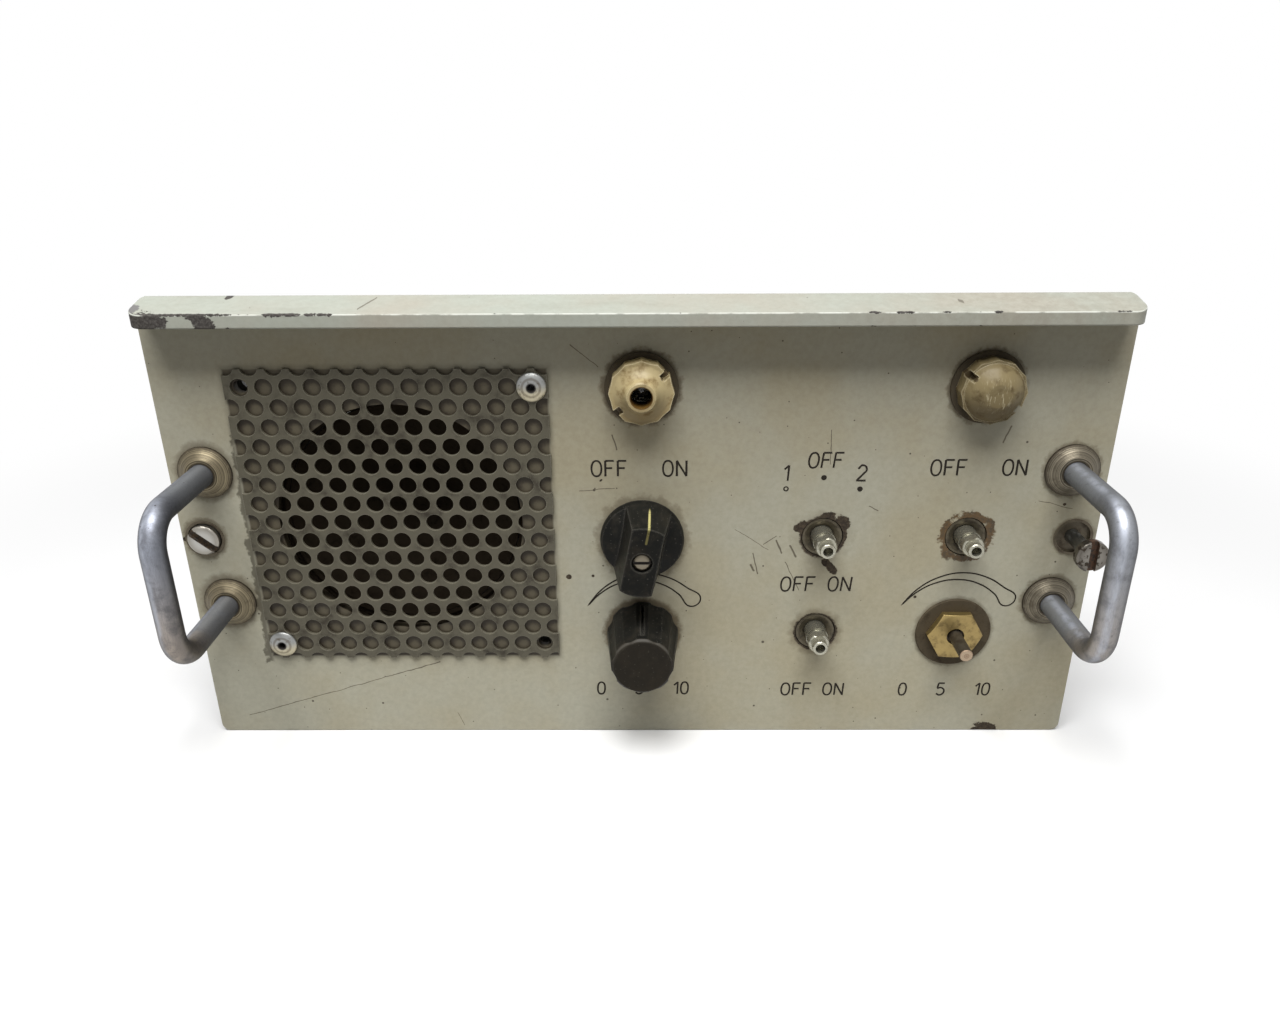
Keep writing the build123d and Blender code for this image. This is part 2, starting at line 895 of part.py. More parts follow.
def switch_frames():
    # an index plate behind each bush, with two tie rods that carry the wafers
    y0 = switch_bush_rear()
    y1 = y0 + switch_plate
    frames = []
    for x, z in switch_places.values():
        plate = RectangleRounded(switch_plate_size, switch_plate_size, 4.0)
        plate = plate - Circle(shaft_radius + running_fit)
        frame = Pos(x, y0, z) * extrude(Plane.XZ * plate, -switch_plate)
        rods = [rod(x + dx, z, switch_rod_radius, y1 - 0.5, y0 + switch_depth)
                for dx in (-switch_rod_spacing / 2, switch_rod_spacing / 2)]
        frames.append(frame + rods)
    return frames


def switch_wafers():
    y0 = switch_bush_rear() + switch_plate
    wafers = []
    for x, z in switch_places.values():
        for step in (1, 2):
            disc = Circle(wafer_radius) - Circle(shaft_radius + running_fit)
            disc = disc - [Pos(dx, 0) * Circle(switch_rod_radius + running_fit)
                           for dx in (-switch_rod_spacing / 2, switch_rod_spacing / 2)]
            y = y0 + step * wafer_step
            wafers.append(Pos(x, y, z) * extrude(Plane.XZ * disc, -wafer_thickness))
    return wafers


def switch_shaft(place):
    # a stepped shaft: collar, flatted neck, and a hollow tip that takes the knob's screw
    x, z = switch_places[place]
    rear = switch_bush_rear() + switch_depth
    neck_front = -shaft_collar - shaft_neck
    shaft = turned([
        (0, -shaft_front + shaft_hole),
        (shaft_hole_radius, -shaft_front + shaft_hole),
        (shaft_hole_radius, -shaft_front),
        (shaft_tip_radius - 0.2, -shaft_front),
        (shaft_tip_radius, -shaft_front + 0.3),
        (shaft_tip_radius, neck_front),
        (shaft_neck_radius - 0.4, neck_front),
        (shaft_neck_radius, neck_front + 0.5),
        (shaft_neck_radius, -shaft_collar),
        (shaft_neck_radius - shaft_groove, -shaft_collar),
        (shaft_neck_radius - shaft_groove, -shaft_collar + shaft_groove),
        (shaft_radius, -shaft_collar + shaft_groove),
        (shaft_radius, rear),
        (0, rear),
    ])
    reach = shaft_radius + 1
    for side in (-1, 1):
        flat = block(min(side * shaft_flat, side * reach), max(side * shaft_flat, side * reach),
                     neck_front - 0.1, -shaft_collar, -reach, reach)
        shaft = shaft - flat
    return Pos(x, 0, z) * Rot(0, shaft_turns[place], 0) * shaft


def power_knob():
    # a domed skirt with a raised bar across it; the bar's ends follow the skirt's round outline
    foot = -knob_gap
    face = -knob_height
    skirt = turned([
        (0, foot),
        (knob_skirt_radius, foot),
        (knob_skirt_radius, foot - 1.2),
        (knob_skirt_radius - 0.7, foot - knob_skirt * 0.7),
        (knob_skirt_radius * 0.6, foot - knob_skirt * 1.3),
        (0, foot - knob_skirt * 1.5),
    ])
    cone = turned([
        (0, foot - 1),
        (knob_skirt_radius - 0.2, foot - 1),
        (knob_bar_end_radius, face),
        (0, face),
    ])
    half = knob_bar_width / 2
    base = half + knob_bar_flare
    slab = make_face(Polyline((-base, foot - 1), (base, foot - 1), (half, face), (-half, face), close=True))
    bar = cone & extrude(slab, knob_skirt_radius, both=True)
    bore = turned([
        (0, foot + 1),
        (shaft_radius + running_fit, foot + 1),
        (shaft_radius + running_fit, -shaft_collar - free_gap),
        (shaft_neck_radius + running_fit, -shaft_collar - free_gap),
        (shaft_neck_radius + running_fit, -shaft_collar - shaft_neck - free_gap),
        (shaft_tip_radius + running_fit, -shaft_collar - shaft_neck - free_gap),
        (shaft_tip_radius + running_fit, -shaft_front - free_gap),
        (knob_screw_shank + running_fit, -shaft_front - free_gap),
        (knob_screw_shank + running_fit, face + knob_screw_recess),
        (knob_screw_head + loose_gap, face + knob_screw_recess),
        (knob_screw_head + loose_gap, face - 1),
        (0, face - 1),
    ])
    knob = skirt + bar - bore
    return Pos(column_left, 0, row_upper) * Rot(0, knob_turn, 0) * knob


def power_knob_screw():
    seat = -knob_height + knob_screw_recess
    front = seat - knob_screw_head_height
    end = -shaft_front + shaft_hole - 1.0
    screw = turned([
        (0, front),
        (knob_screw_head - 0.9, front),
        (knob_screw_head, front + 0.6),
        (knob_screw_head, seat),
        (knob_screw_shank, seat),
        (knob_screw_shank, end),
        (0, end),
    ])
    slot = block(-knob_screw_head - 1, knob_screw_head + 1, front - 1, front + 0.9, -0.5, 0.5)
    return Pos(column_left, 0, row_upper) * (screw - slot)


# Volume control

def volume_knob():
    # a tapered knob with broad flutes and an index notch
    foot = -knob_gap
    face = -volume_height
    body = turned([
        (0, foot),
        (volume_base_radius, foot),
        (volume_base_radius, foot - 1.5),
        (volume_face_radius, face + volume_edge),
        (volume_face_radius - volume_edge, face),
        (0, face),
    ])
    lean = degrees(atan((volume_base_radius - volume_face_radius) / (volume_height - knob_gap)))
    middle = (volume_base_radius + volume_face_radius) / 2
    cutter = Pos(middle + volume_flute_radius - volume_flute_depth, 0, 0) * Rot(90, 0, 0)
    cutter = cutter * Rot(0, -lean, 0) * Cylinder(volume_flute_radius, volume_height * 2)
    place = Pos(0, (foot + face) / 2, 0)
    for index in range(volume_flute_count):
        angle = 360 / volume_flute_count * (index + 0.5)
        body = body - Rot(0, angle, 0) * place * cutter
    notch = block(-volume_notch / 2, volume_notch / 2, face + 3, foot - 2,
                  volume_face_radius - 0.8, volume_base_radius + 2)
    body = body - notch
    recess = rod(0, 0, volume_recess_radius, foot - volume_recess, foot + 1)
    bore = rod(0, 0, pot_shaft_radius + running_fit, face + 5, foot + 1)
    return Pos(column_left, 0, row_lower) * (body - recess - bore)


def volume_pot_body():
    bore = pot_shaft_radius + running_fit
    rear = back + pot_body
    return turned([
        (bore, -pot_bush_front),
        (pot_bush_radius, -pot_bush_front),
        (pot_bush_radius, back),
        (pot_body_radius, back),
        (pot_body_radius, rear - 1),
        (pot_body_radius - 1, rear),
        (bore, rear),
    ], column_left, row_lower)


def volume_pot_shaft():
    return rod(column_left, row_lower, pot_shaft_radius, -volume_height + 5.2, back + pot_body)


def volume_pot_nut():
    nut = hexagon(column_left, row_lower, pot_nut, -pot_nut_height, 0)
    return nut - rod(column_left, row_lower, pot_bush_radius + running_fit, -9, 1)


# Backlight control

def backlight_disc():
    bore = gland_bush_radius + free_gap
    return turned([(bore, -disc_thickness), (disc_radius - 0.3, -disc_thickness), (disc_radius, -0.5),
                   (disc_radius, 0), (bore, 0)], column_right, row_lower)


def backlight_nut():
    # a cap nut: its front wall leaves only a small hole round the shaft
    front = -disc_thickness - gland_nut_height
    nut = hexagon(column_right, row_lower, gland_nut, front, -disc_thickness)
    corner = gland_nut / sqrt(3)
    chamfer = turned([(0, front), (gland_nut / 2 - 0.2, front), (corner, front + 0.8), (corner, 0), (0, 0)],
                     column_right, row_lower)
    thread = rod(column_right, row_lower, gland_bush_radius + running_fit, -gland_bush_front - free_gap, 1)
    hole = rod(column_right, row_lower, gland_hole_radius, front - 1, 1)
    return (nut & chamfer) - thread - hole


def backlight_pot_body():
    bore = gland_shaft_radius + running_fit
    rear = back + gland_body
    return turned([
        (bore, -gland_bush_front),
        (gland_bush_radius, -gland_bush_front),
        (gland_bush_radius, back),
        (gland_body_radius, back),
        (gland_body_radius, rear - 1),
        (gland_body_radius - 1, rear),
        (bore, rear),
    ], column_right, row_lower)


def backlight_pot_shaft():
    rear = back + gland_body
    shaft = turned([(0, -gland_shaft_reach), (gland_shaft_radius - 0.3, -gland_shaft_reach),
                    (gland_shaft_radius, -gland_shaft_reach + 0.4), (gland_shaft_radius, rear), (0, rear)])
    return Pos(column_right, 0, row_lower) * shaft


# Chassis

def chassis_half_width():
    return bracket_x + bracket_flange


def flange_screw_places():
    x = bracket_x + bracket_flange / 2
    depths = (back + chassis_depth * 0.25, back + chassis_depth * 0.75)
    return [(side * x, y) for side in (-1, 1) for y in depths]


def rear_screw_places():
    heights = (chassis_sheet + bracket_screw_inset, bracket_rear_height - bracket_screw_inset)
    return [(side * rear_screw_x, z) for side in (-1, 1) for z in heights]


def strap_screw_places():
    places = []
    for leg, _, x, y in transformers:
        reach = 1.5 * leg + free_gap + strap_sheet + strap_foot / 2
        places += [(x - reach, y), (x + reach, y)]
    return places


def spacer_places():
    dx = board_length / 2 - board_margin
    dy = board_width / 2 - board_margin
    return [(board_x + sx * dx, board_y + sy * dy) for sx in (-1, 1) for sy in (-1, 1)]


def chassis_plate():
    half = chassis_half_width()
    plate = block(-half, half, back, rear_face, 0, chassis_sheet)
    holes = [post(x, y, screw_m4_radius + free_gap, -1, chassis_sheet + 1)
             for x, y in flange_screw_places() + strap_screw_places()]
    slots = []
    for index in range(vent_count):
        x = board_x + (index - (vent_count - 1) / 2) * vent_step
        slot = SlotOverall(board_width * 0.6, vent_width)
        slots.append(Pos(x, board_y, -1) * Rot(0, 0, 90) * extrude(slot, chassis_sheet + 2))
    return plate - holes - slots


def side_bracket(side):
    # a gusset plate with tabs on the panel, a foot on the chassis plate and a flange at the rear
    inner = bracket_inner
    outline = make_face(Polyline(
        (back, chassis_sheet),
        (back, bracket_front_height),
        (back + bracket_shoulder, bracket_front_height),
        (rear_inner, bracket_rear_height),
        (rear_inner, chassis_sheet),
        close=True))
    gusset = Pos(inner, 0, 0) * extrude(Plane.YZ * outline, bracket_sheet)
    window = SlotOverall(bracket_window * 2.4, bracket_window)
    window = extrude(Plane.YZ * window, bracket_sheet * 3, both=True)
    gusset = gusset - Pos(inner, back + chassis_depth * 0.42, bracket_rear_height * 0.65) * window
    tabs = []
    for z in (bracket_tab_low, bracket_tab_high):
        tab = block(bracket_x - 0.1, bracket_x + bracket_tab, back, back + bracket_sheet,
                    z - bracket_tab_height / 2, z + bracket_tab_height / 2)
        tabs.append(tab - rod(bracket_x + bracket_tab / 2, z, stud_radius + free_gap, back - 1, back + 9))
    foot = block(bracket_x - 0.1, bracket_x + bracket_flange, back + bracket_sheet, rear_inner,
                 chassis_sheet, chassis_sheet + bracket_sheet)
    rear = block(inner - bracket_flange, inner + 0.1, rear_inner - bracket_sheet, rear_inner,
                 chassis_sheet, bracket_rear_height)
    bracket = gusset + tabs + foot + rear
    holes = [post(x, y, screw_m4_radius + free_gap, 0, chassis_sheet + bracket_sheet + 1)
             for x, y in flange_screw_places()]
    holes += [rod(x, z, screw_m4_radius + free_gap, rear_inner - 9, rear_inner + 1)
              for x, z in rear_screw_places()]
    bracket = bracket - holes
    return bracket if side > 0 else mirror(bracket, Plane.YZ)


def bracket_nuts():
    y0 = back + bracket_sheet
    nuts = []
    for x, z in bracket_stud_places():
        nut = hexagon(x, z, nut_m4, y0, y0 + nut_m4_height)
        nuts.append(nut - rod(x, z, stud_radius + running_fit, y0 - 1, y0 + 9))
    return nuts


def guide_places():
    return [plug_x - guide_spacing / 2, plug_x + guide_spacing / 2]


def power_can_places():
    return [sink_x - power_spacing / 2, sink_x + power_spacing / 2]


def rear_plate():
    half = bracket_x
    plate = block(-half, half, rear_inner, rear_face, chassis_sheet, rear_height)
    cuts = [rod(x, z, screw_m4_radius + free_gap, rear_inner - 1, rear_face + 1)
            for x, z in rear_screw_places()]
    cuts.append(block(plug_x - plug_length / 2 - free_gap, plug_x + plug_length / 2 + free_gap,
                      rear_inner - 1, rear_face + 1,
                      plug_z - plug_height / 2 - free_gap, plug_z + plug_height / 2 + free_gap))
    guide_hole = guide_shank_radius + free_gap
    cuts += [rod(x, plug_z, guide_hole, rear_inner - 1, rear_face + 1) for x in guide_places()]
    return plate - cuts


def m4_screw():
    # a slotted pan-head screw, standing on its seat at the origin, shank downwards
    low = (Align.CENTER, Align.CENTER, Align.MIN)
    head = Cylinder(screw_m4_head, screw_m4_head_height, align=low)
    head = head - Pos(0, 0, screw_m4_head_height) * Box(screw_m4_head * 3, 1.0, 1.8)
    return head + Pos(0, 0, -screw_m4_length) * Cylinder(screw_m4_radius, screw_m4_length, align=low)


def chassis_screws():
    screw = m4_screw()
    foot_top = chassis_sheet + bracket_sheet
    strap_top = chassis_sheet + strap_sheet
    screws = [Pos(x, y, foot_top + seat_gap) * screw for x, y in flange_screw_places()]
    screws += [Pos(x, y, strap_top + seat_gap) * strap_screw() for x, y in strap_screw_places()]
    screws += [Pos(x, rear_face + seat_gap, z) * Rot(-90, 0, 0) * screw for x, z in rear_screw_places()]
    return screws


def strap_screw():
    # the same head on a shank that ends flush with the underside of the chassis plate
    low = (Align.CENTER, Align.CENTER, Align.MIN)
    length = chassis_sheet + strap_sheet - 0.3
    head = Cylinder(screw_m4_head, screw_m4_head_height, align=low)
    head = head - Pos(0, 0, screw_m4_head_height) * Box(screw_m4_head * 3, 1.0, 1.8)
    return head + Pos(0, 0, -length) * Cylinder(screw_m4_radius, length, align=low)


# Transformers

def transformer_core(leg, stack, x, y):
    width = 3 * leg
    height = 2.5 * leg
    core = block(-width / 2, width / 2, -stack / 2, stack / 2, 0, height)
    for side in (-1, 1):
        window = Pos(side * 0.75 * leg, 0, height / 2) * Box(leg / 2, stack * 2, 1.5 * leg)
        core = core - window
    return Pos(x, y, chassis_sheet) * core


def transformer_coil(leg, stack, x, y):
    outer = RectangleRounded(2 * leg - 2 * coil_gap, stack + leg, 4.0)
    inner = Rectangle(leg + 2 * coil_gap, stack + 2 * coil_gap)
    height = 1.5 * leg - 2 * coil_gap
    coil = extrude(outer - inner, height)
    return Pos(x, y, chassis_sheet + leg / 2 + coil_gap) * coil


def transformer_strap(leg, stack, x, y):
    inner = 1.5 * leg + free_gap
    top = 2.5 * leg + free_gap
    outer = inner + strap_sheet
    foot = outer + strap_foot
    section = make_face(Polyline(
        (-foot, 0), (-inner, 0), (-inner, top), (inner, top), (inner, 0), (foot, 0),
        (foot, strap_sheet), (outer, strap_sheet), (outer, top + strap_sheet),
        (-outer, top + strap_sheet), (-outer, strap_sheet), (-foot, strap_sheet), close=True))
    strap = extrude(Plane.XZ * section, stack * strap_width_share / 2, both=True)
    reach = outer + strap_foot / 2
    hole = screw_m4_radius + free_gap
    strap = strap - [post(side * reach, 0, hole, -1, strap_sheet + 1) for side in (-1, 1)]
    return Pos(x, y, chassis_sheet) * strap


transformers = [
    (mains_leg, mains_stack, mains_x, transformer_y),
    (output_leg, output_stack, output_x, transformer_y),
]


# Amplifier board and the larger components

def filter_capacitors():
    cans = []
    for index in range(2):
        x = output_x + (index - 0.5) * capacitor_step
        radius = capacitor_radius
        bead = chassis_sheet + capacitor_height * 0.82
        top = chassis_sheet + capacitor_height
        profile = make_face(Polyline(
            (0, chassis_sheet), (radius, chassis_sheet), (radius, bead - 1), (radius - 0.9, bead),
            (radius, bead + 1), (radius, top - 1), (radius - 1, top), (radius - 3, top),
            (radius - 3, top - 1.5), (0, top - 1.5), close=True))
        cans.append(Pos(x, capacitor_y, 0) * revolve(Plane.XZ * profile, Axis.Z))
    return cans


def board_top():
    return chassis_sheet + spacer_height + board_thickness


def amplifier_board():
    low = chassis_sheet + spacer_height
    board = block(board_x - board_length / 2, board_x + board_length / 2,
                  board_y - board_width / 2, board_y + board_width / 2, low, board_top())
    holes = [post(x, y, board_screw_radius + free_gap, low - 1, board_top() + 1) for x, y in spacer_places()]
    return board - holes


def board_spacers():
    low = chassis_sheet
    high = low + spacer_height
    bore = board_screw_radius + running_fit
    spacers = []
    for x, y in spacer_places():
        spacer = Pos(x, y, low) * extrude(RegularPolygon(spacer_radius, 6), spacer_height)
        spacers.append(spacer - post(x, y, bore, high - spacer_bore, high + 1))
    return spacers


def board_screws():
    screws = []
    for x, y in spacer_places():
        seat = board_top() + seat_gap
        head = post(x, y, board_screw_head, seat, seat + board_screw_head_height)
        slot = Pos(x, y, seat + board_screw_head_height) * Box(board_screw_head * 3, 0.8, 1.4)
        screws.append(head - slot + post(x, y, board_screw_radius, seat - board_screw_length, seat))
    return screws


def board_capacitors():
    step = board_length / 5
    y = board_y + board_width * 0.22
    low = board_top()
    high = low + board_can_height
    return [post(board_x + (index - 1.5) * step, y, board_can_radius, low, high) for index in range(4)]


def board_transistors():
    step = board_length / 5
    cans = []
    for index in range(4):
        x = board_x + (index - 1.5) * step
        y = board_y - board_width * 0.2
        low = board_top()
        rim = post(x, y, board_transistor_radius, low, low + 0.8)
        can = post(x, y, board_transistor_radius - 0.5, low, low + board_transistor_height)
        cans.append(rim + can)
    return cans


def board_resistors():
    step = board_length / 9
    radius = board_resistor_radius
    bodies = []
    for index in range(7):
        x = board_x + (index - 3) * step
        centre = Pos(x, board_y, board_top() + radius)
        bodies.append(centre * Rot(90, 0, 0) * Cylinder(radius, board_resistor_length))
    return bodies


def output_transistors():
    # a lozenge flange on the rear plate, with a round can in its middle
    cans = []
    ear = power_flange_length / 2 - power_ear_radius
    rings = Circle(power_flange_width / 2) + [Pos(dx, 0) * Circle(power_ear_radius) for dx in (-ear, ear)]
    flange = extrude(Plane.XZ * make_hull(rings.edges()), power_flange_height)
    can_front = rear_inner - power_flange_height - power_can_height
    for x in power_can_places():
        can = rod(x, sink_z, power_can_radius, can_front, rear_inner)
        cans.append(Pos(x, rear_inner, sink_z) * flange + can)
    return cans


def heat_sink():
    # one extruded comb, fins upright
    pitch = (sink_width - sink_fin_thickness) / (sink_fin_count - 1)
    left = -sink_width / 2
    comb = Pos(0, sink_base / 2) * Rectangle(sink_width, sink_base)
    for index in range(sink_fin_count):
        x = left + sink_fin_thickness / 2 + index * pitch
        comb = comb + Pos(x, sink_base + sink_fin / 2) * Rectangle(sink_fin_thickness, sink_fin)
    return Pos(sink_x, rear_face, sink_z - sink_height / 2) * extrude(comb, sink_height)


# Rear connector

def rear_connector():
    half_l = plug_length / 2
    half_h = plug_height / 2
    body = block(plug_x - half_l, plug_x + half_l, rear_inner - plug_inside, rear_face + plug_outside,
                 plug_z - half_h, plug_z + half_h)
    body = fillet(body.edges().filter_by(Axis.Y), 2.0)
    flange = block(plug_x - half_l - plug_flange, plug_x + half_l + plug_flange, rear_face,
                   rear_face + plug_flange_thickness, plug_z - half_h - 3, plug_z + half_h + 3)
    return body + flange - plug_pin_holes()


def plug_pin_places():
    places = []
    for row in (-1, 1):
        for index in range(plug_pin_count):
            x = plug_x + (index - (plug_pin_count - 1) / 2) * plug_pin_pitch
            places.append((x, plug_z + row * plug_row_pitch / 2))
    return places


def plug_pin_holes():
    end = rear_face + plug_outside
    return [rod(x, z, plug_pin_radius + running_fit, end - 4, end + 1) for x, z in plug_pin_places()]


def connector_pins():
    end = rear_face + plug_outside
    return [rod(x, z, plug_pin_radius, end - 4 + running_fit, end + plug_pin_length)
            for x, z in plug_pin_places()]


def guide_pins():
    # a shouldered pin, peened over behind the rear plate
    root = rear_inner - guide_collar
    shoulder = rear_face + guide_collar
    tip = rear_face + guide_length
    profile = [
        (0, root),
        (guide_collar_radius, root),
        (guide_collar_radius, rear_inner),
        (guide_shank_radius, rear_inner),
        (guide_shank_radius, rear_face),
        (guide_collar_radius, rear_face),
        (guide_collar_radius, shoulder),
        (guide_radius, shoulder),
        (guide_radius, tip - guide_tip),
        (guide_tip_radius, tip),
        (0, tip),
    ]
    return [turned(profile, x, plug_z) for x in guide_places()]


# Wiring loom, clipped to the chassis plate between the board and the switches

def loom_height():
    return chassis_sheet + clip_sheet + loom_radius + running_fit


def loom_points():
    z = loom_height()
    wafer_y = switch_bush_rear() + switch_plate + 2 * wafer_step + wafer_thickness / 2
    wafer_low = row_lower - wafer_radius - free_gap
    return [
        (board_x + loom_inset, loom_start_y, z),
        (board_x + loom_inset, loom_front_y, z),
        (column_middle, loom_front_y, z),
        (column_middle, wafer_y, z),
        (column_middle, wafer_y, wafer_low),
    ]


def wiring_loom():
    points = loom_points()
    last = min(loom_bend, (loom_front_y - points[3][1]) * 0.45)
    path = FilletPolyline(*points, radius=[loom_bend, last, last])
    section = Plane(origin=path @ 0, z_dir=path % 0) * Circle(loom_radius)
    return sweep(section, path=path)


def loom_clips():
    # saddle clips over the straight stretch across the chassis
    z = loom_height()
    inner = loom_radius + running_fit
    outer = inner + clip_sheet
    clips = []
    for share in (0.25, 0.5, 0.75):
        x = board_x + loom_inset + share * (column_middle - board_x - loom_inset)
        arch = Circle(outer) + Pos(0, -outer / 2) * Rectangle(2 * outer, outer)
        feet = Pos(0, -outer + clip_sheet / 2) * Rectangle(2 * (outer + clip_foot), clip_sheet)
        section = arch + feet - Circle(inner)
        clip = extrude(Plane.YZ * section, clip_width / 2, both=True)
        clips.append(Pos(x, loom_front_y, z) * clip)
    return clips


os.makedirs("parts", exist_ok=True)

save("front_panel", front_panel())
save("panel_visor", panel_visor())
save("speaker_grille", speaker_grille())
save_group("grille_fasteners", grille_fasteners())
save("speaker_gasket", speaker_gasket_ring())
save("speaker_basket", speaker_basket())
save("speaker_magnet", speaker_magnet())
save("speaker_cone", speaker_cone())
save("speaker_surround", speaker_surround())
save("handle_left", handle(-1))
save("handle_right", handle(1))
save_group("handle_collars", handle_collars())
save_group("captive_bushes", [captive_bush(-1), captive_bush(1)])
save("captive_screw_left", captive_screw(-1, 0.0))
save("captive_screw_right", captive_screw(1, screw_draw))
save("retaining_ring_left", retaining_ring(-1, 0.0))
save("retaining_ring_right", retaining_ring(1, screw_draw))
save("lamp_cap_left", lamp_cap(column_left, cap_left_slot, True))
save("lamp_cap_right", lamp_cap(column_right, cap_right_slot, False))
save_group("lamp_gaskets", lamp_gaskets())
save_group("lamp_holders", lamp_holders())
save_group("lamp_bulbs", lamp_bulbs())
save_group("switch_bushes", switch_bushes())
save_group("switch_frames", switch_frames())
save_group("switch_wafers", switch_wafers())
for place in switch_places:
    save("switch_shaft_" + place, switch_shaft(place))
save("power_knob", power_knob())
save("power_knob_screw", power_knob_screw())
save("volume_knob", volume_knob())
save("volume_pot_shaft", volume_pot_shaft())
save_group("panel_nuts", handle_nuts() + lamp_nuts() + [volume_pot_nut()])
save("backlight_disc", backlight_disc())
save("backlight_nut", backlight_nut())
save_group("pot_bodies", [volume_pot_body(), backlight_pot_body()])
save("backlight_pot_shaft", backlight_pot_shaft())
save("chassis_plate", chassis_plate())
save("side_bracket_left", side_bracket(-1))
save("side_bracket_right", side_bracket(1))
save_group("m4_nuts", fastener_nuts() + bracket_nuts())
save("rear_plate", rear_plate())
save_group("chassis_screws", chassis_screws())
save_group("transformer_cores", [transformer_core(*sizes) for sizes in transformers])
save_group("transformer_coils", [transformer_coil(*sizes) for sizes in transformers])
save_group("transformer_straps", [transformer_strap(*sizes) for sizes in transformers])
save_group("filter_capacitors", filter_capacitors())
save("amplifier_board", amplifier_board())
save_group("board_spacers", board_spacers())
save_group("board_screws", board_screws())
save_group("board_components", board_capacitors() + board_transistors() + board_resistors())
save_group("output_transistors", output_transistors())
save("heat_sink", heat_sink())
save("rear_connector", rear_connector())
save_group("connector_pins", connector_pins())
save_group("guide_pins", guide_pins())
save("wiring_loom", wiring_loom())
save_group("loom_clips", loom_clips())
print("frame shift along y", round(frame_shift, 3))
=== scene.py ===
import json
import math
import bpy
from mathutils import Matrix, Vector


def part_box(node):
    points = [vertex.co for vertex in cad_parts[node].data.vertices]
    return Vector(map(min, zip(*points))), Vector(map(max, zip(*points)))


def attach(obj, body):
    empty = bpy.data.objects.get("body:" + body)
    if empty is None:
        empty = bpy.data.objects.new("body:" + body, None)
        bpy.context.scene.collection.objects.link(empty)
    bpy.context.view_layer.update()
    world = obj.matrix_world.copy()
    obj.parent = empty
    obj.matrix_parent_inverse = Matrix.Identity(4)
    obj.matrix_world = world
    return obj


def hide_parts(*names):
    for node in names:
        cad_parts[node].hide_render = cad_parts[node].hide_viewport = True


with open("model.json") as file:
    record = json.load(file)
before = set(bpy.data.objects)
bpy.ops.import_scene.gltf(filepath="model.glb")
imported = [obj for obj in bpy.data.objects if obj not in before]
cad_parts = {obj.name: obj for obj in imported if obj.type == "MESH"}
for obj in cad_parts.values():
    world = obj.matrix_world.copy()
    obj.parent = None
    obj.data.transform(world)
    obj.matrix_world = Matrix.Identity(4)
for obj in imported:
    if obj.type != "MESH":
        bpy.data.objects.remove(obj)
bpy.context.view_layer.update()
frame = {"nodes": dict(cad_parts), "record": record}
nodes = frame["nodes"]
record = frame["record"]
bodyOf = {node: body for body, names in record["behaviour"]["bodies"].items() for node in names}
slotOf = {part["node"]: part["material_slot"] for part in record["subparts"]}
scene = bpy.context.scene
print("frame loaded with", len(nodes), "nodes")


# places in millimetres, read from the frame
def corners(node):
    low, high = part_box(node)
    return low * 1000, high * 1000


def middle(node):
    low, high = corners(node)
    return (low.x + high.x) / 2, (low.z + high.z) / 2


gripLow, gripHigh = corners("handle_right")
rodRadius = 4.0
handleX = (gripLow.x + gripHigh.x) / 2
handleRows = (gripHigh.z - rodRadius, gripLow.z + rodRadius)
lampLeft, lampRight = middle("lamp_cap_left"), middle("lamp_cap_right")
power, volume = middle("switch_shaft_power"), middle("volume_knob")
upper, lower, right = (middle("switch_shaft_" + name) for name in ("upper", "lower", "right"))
backlight = middle("backlight_disc")
screwLeft, screwRight = middle("captive_screw_left"), middle("captive_screw_right")


# small helpers for shader trees: a node joins the tree of the first socket it reads
def feed(value, socket):
    if isinstance(value, bpy.types.NodeSocket):
        socket.id_data.links.new(value, socket)
    else:
        socket.default_value = value


def addNode(kind, *values):
    tree = next(value.id_data for value in values if isinstance(value, bpy.types.NodeSocket))
    node = tree.nodes.new("ShaderNode" + kind)
    for value, socket in zip(values, node.inputs):
        feed(value, socket)
    return node


def calc(operation, first, second=0.0, clamp=False):
    node = addNode("Math", first, second)
    node.operation = operation
    node.use_clamp = clamp
    return node.outputs[0]


def times(first, second):
    return calc("MULTIPLY", first, second)


def plus(first, second):
    return calc("ADD", first, second)


def minus(first, second, clamp=False):
    return calc("SUBTRACT", first, second, clamp)


def vec(operation, first, second=(0.0, 0.0, 0.0)):
    node = addNode("VectorMath", first)
    node.operation = operation
    feed(second, node.inputs["Scale" if operation == "SCALE" else 1])
    return node.outputs["Value" if operation in ("LENGTH", "DISTANCE", "DOT_PRODUCT") else "Vector"]


def axes(place):
    return addNode("SeparateXYZ", place).outputs


def join(x, y, z):
    return addNode("CombineXYZ", x, y, z).outputs[0]


def fade(value, low, high):
    node = addNode("MapRange", value, low, high)
    node.interpolation_type = "SMOOTHSTEP"
    return node.outputs[0]


def blend(amount, first, second):
    node = addNode("Mix", amount)
    node.data_type = "RGBA"
    feed(first, node.inputs[6])
    feed(second, node.inputs[7])
    return node.outputs[2]


def coat(colour, mask, strength, tone):
    return blend(times(mask, strength), colour, tone)


def grain(place, scale, detail=3.0, rough=0.55, output=0):
    node = addNode("TexNoise", place)
    for name, value in (("Scale", scale), ("Detail", detail), ("Roughness", rough)):
        node.inputs[name].default_value = value
    return node.outputs[output]


# noise between two levels: low, high, then scale, detail and roughness
def patches(place, low, high, *values):
    return fade(grain(place, *values), low, high)


def ripple(place, scale, detail=6.0, rough=0.62):
    return minus(grain(place, scale, detail, rough), 0.5)


def shaken(place, scale, amount):
    shift = vec("SUBTRACT", grain(place, scale, 2.0, 0.5, "Color"), (0.5, 0.5, 0.5))
    return vec("ADD", place, vec("SCALE", shift, amount))


def stretch(place, x, y, z):
    return vec("MULTIPLY", place, (x, y, z))


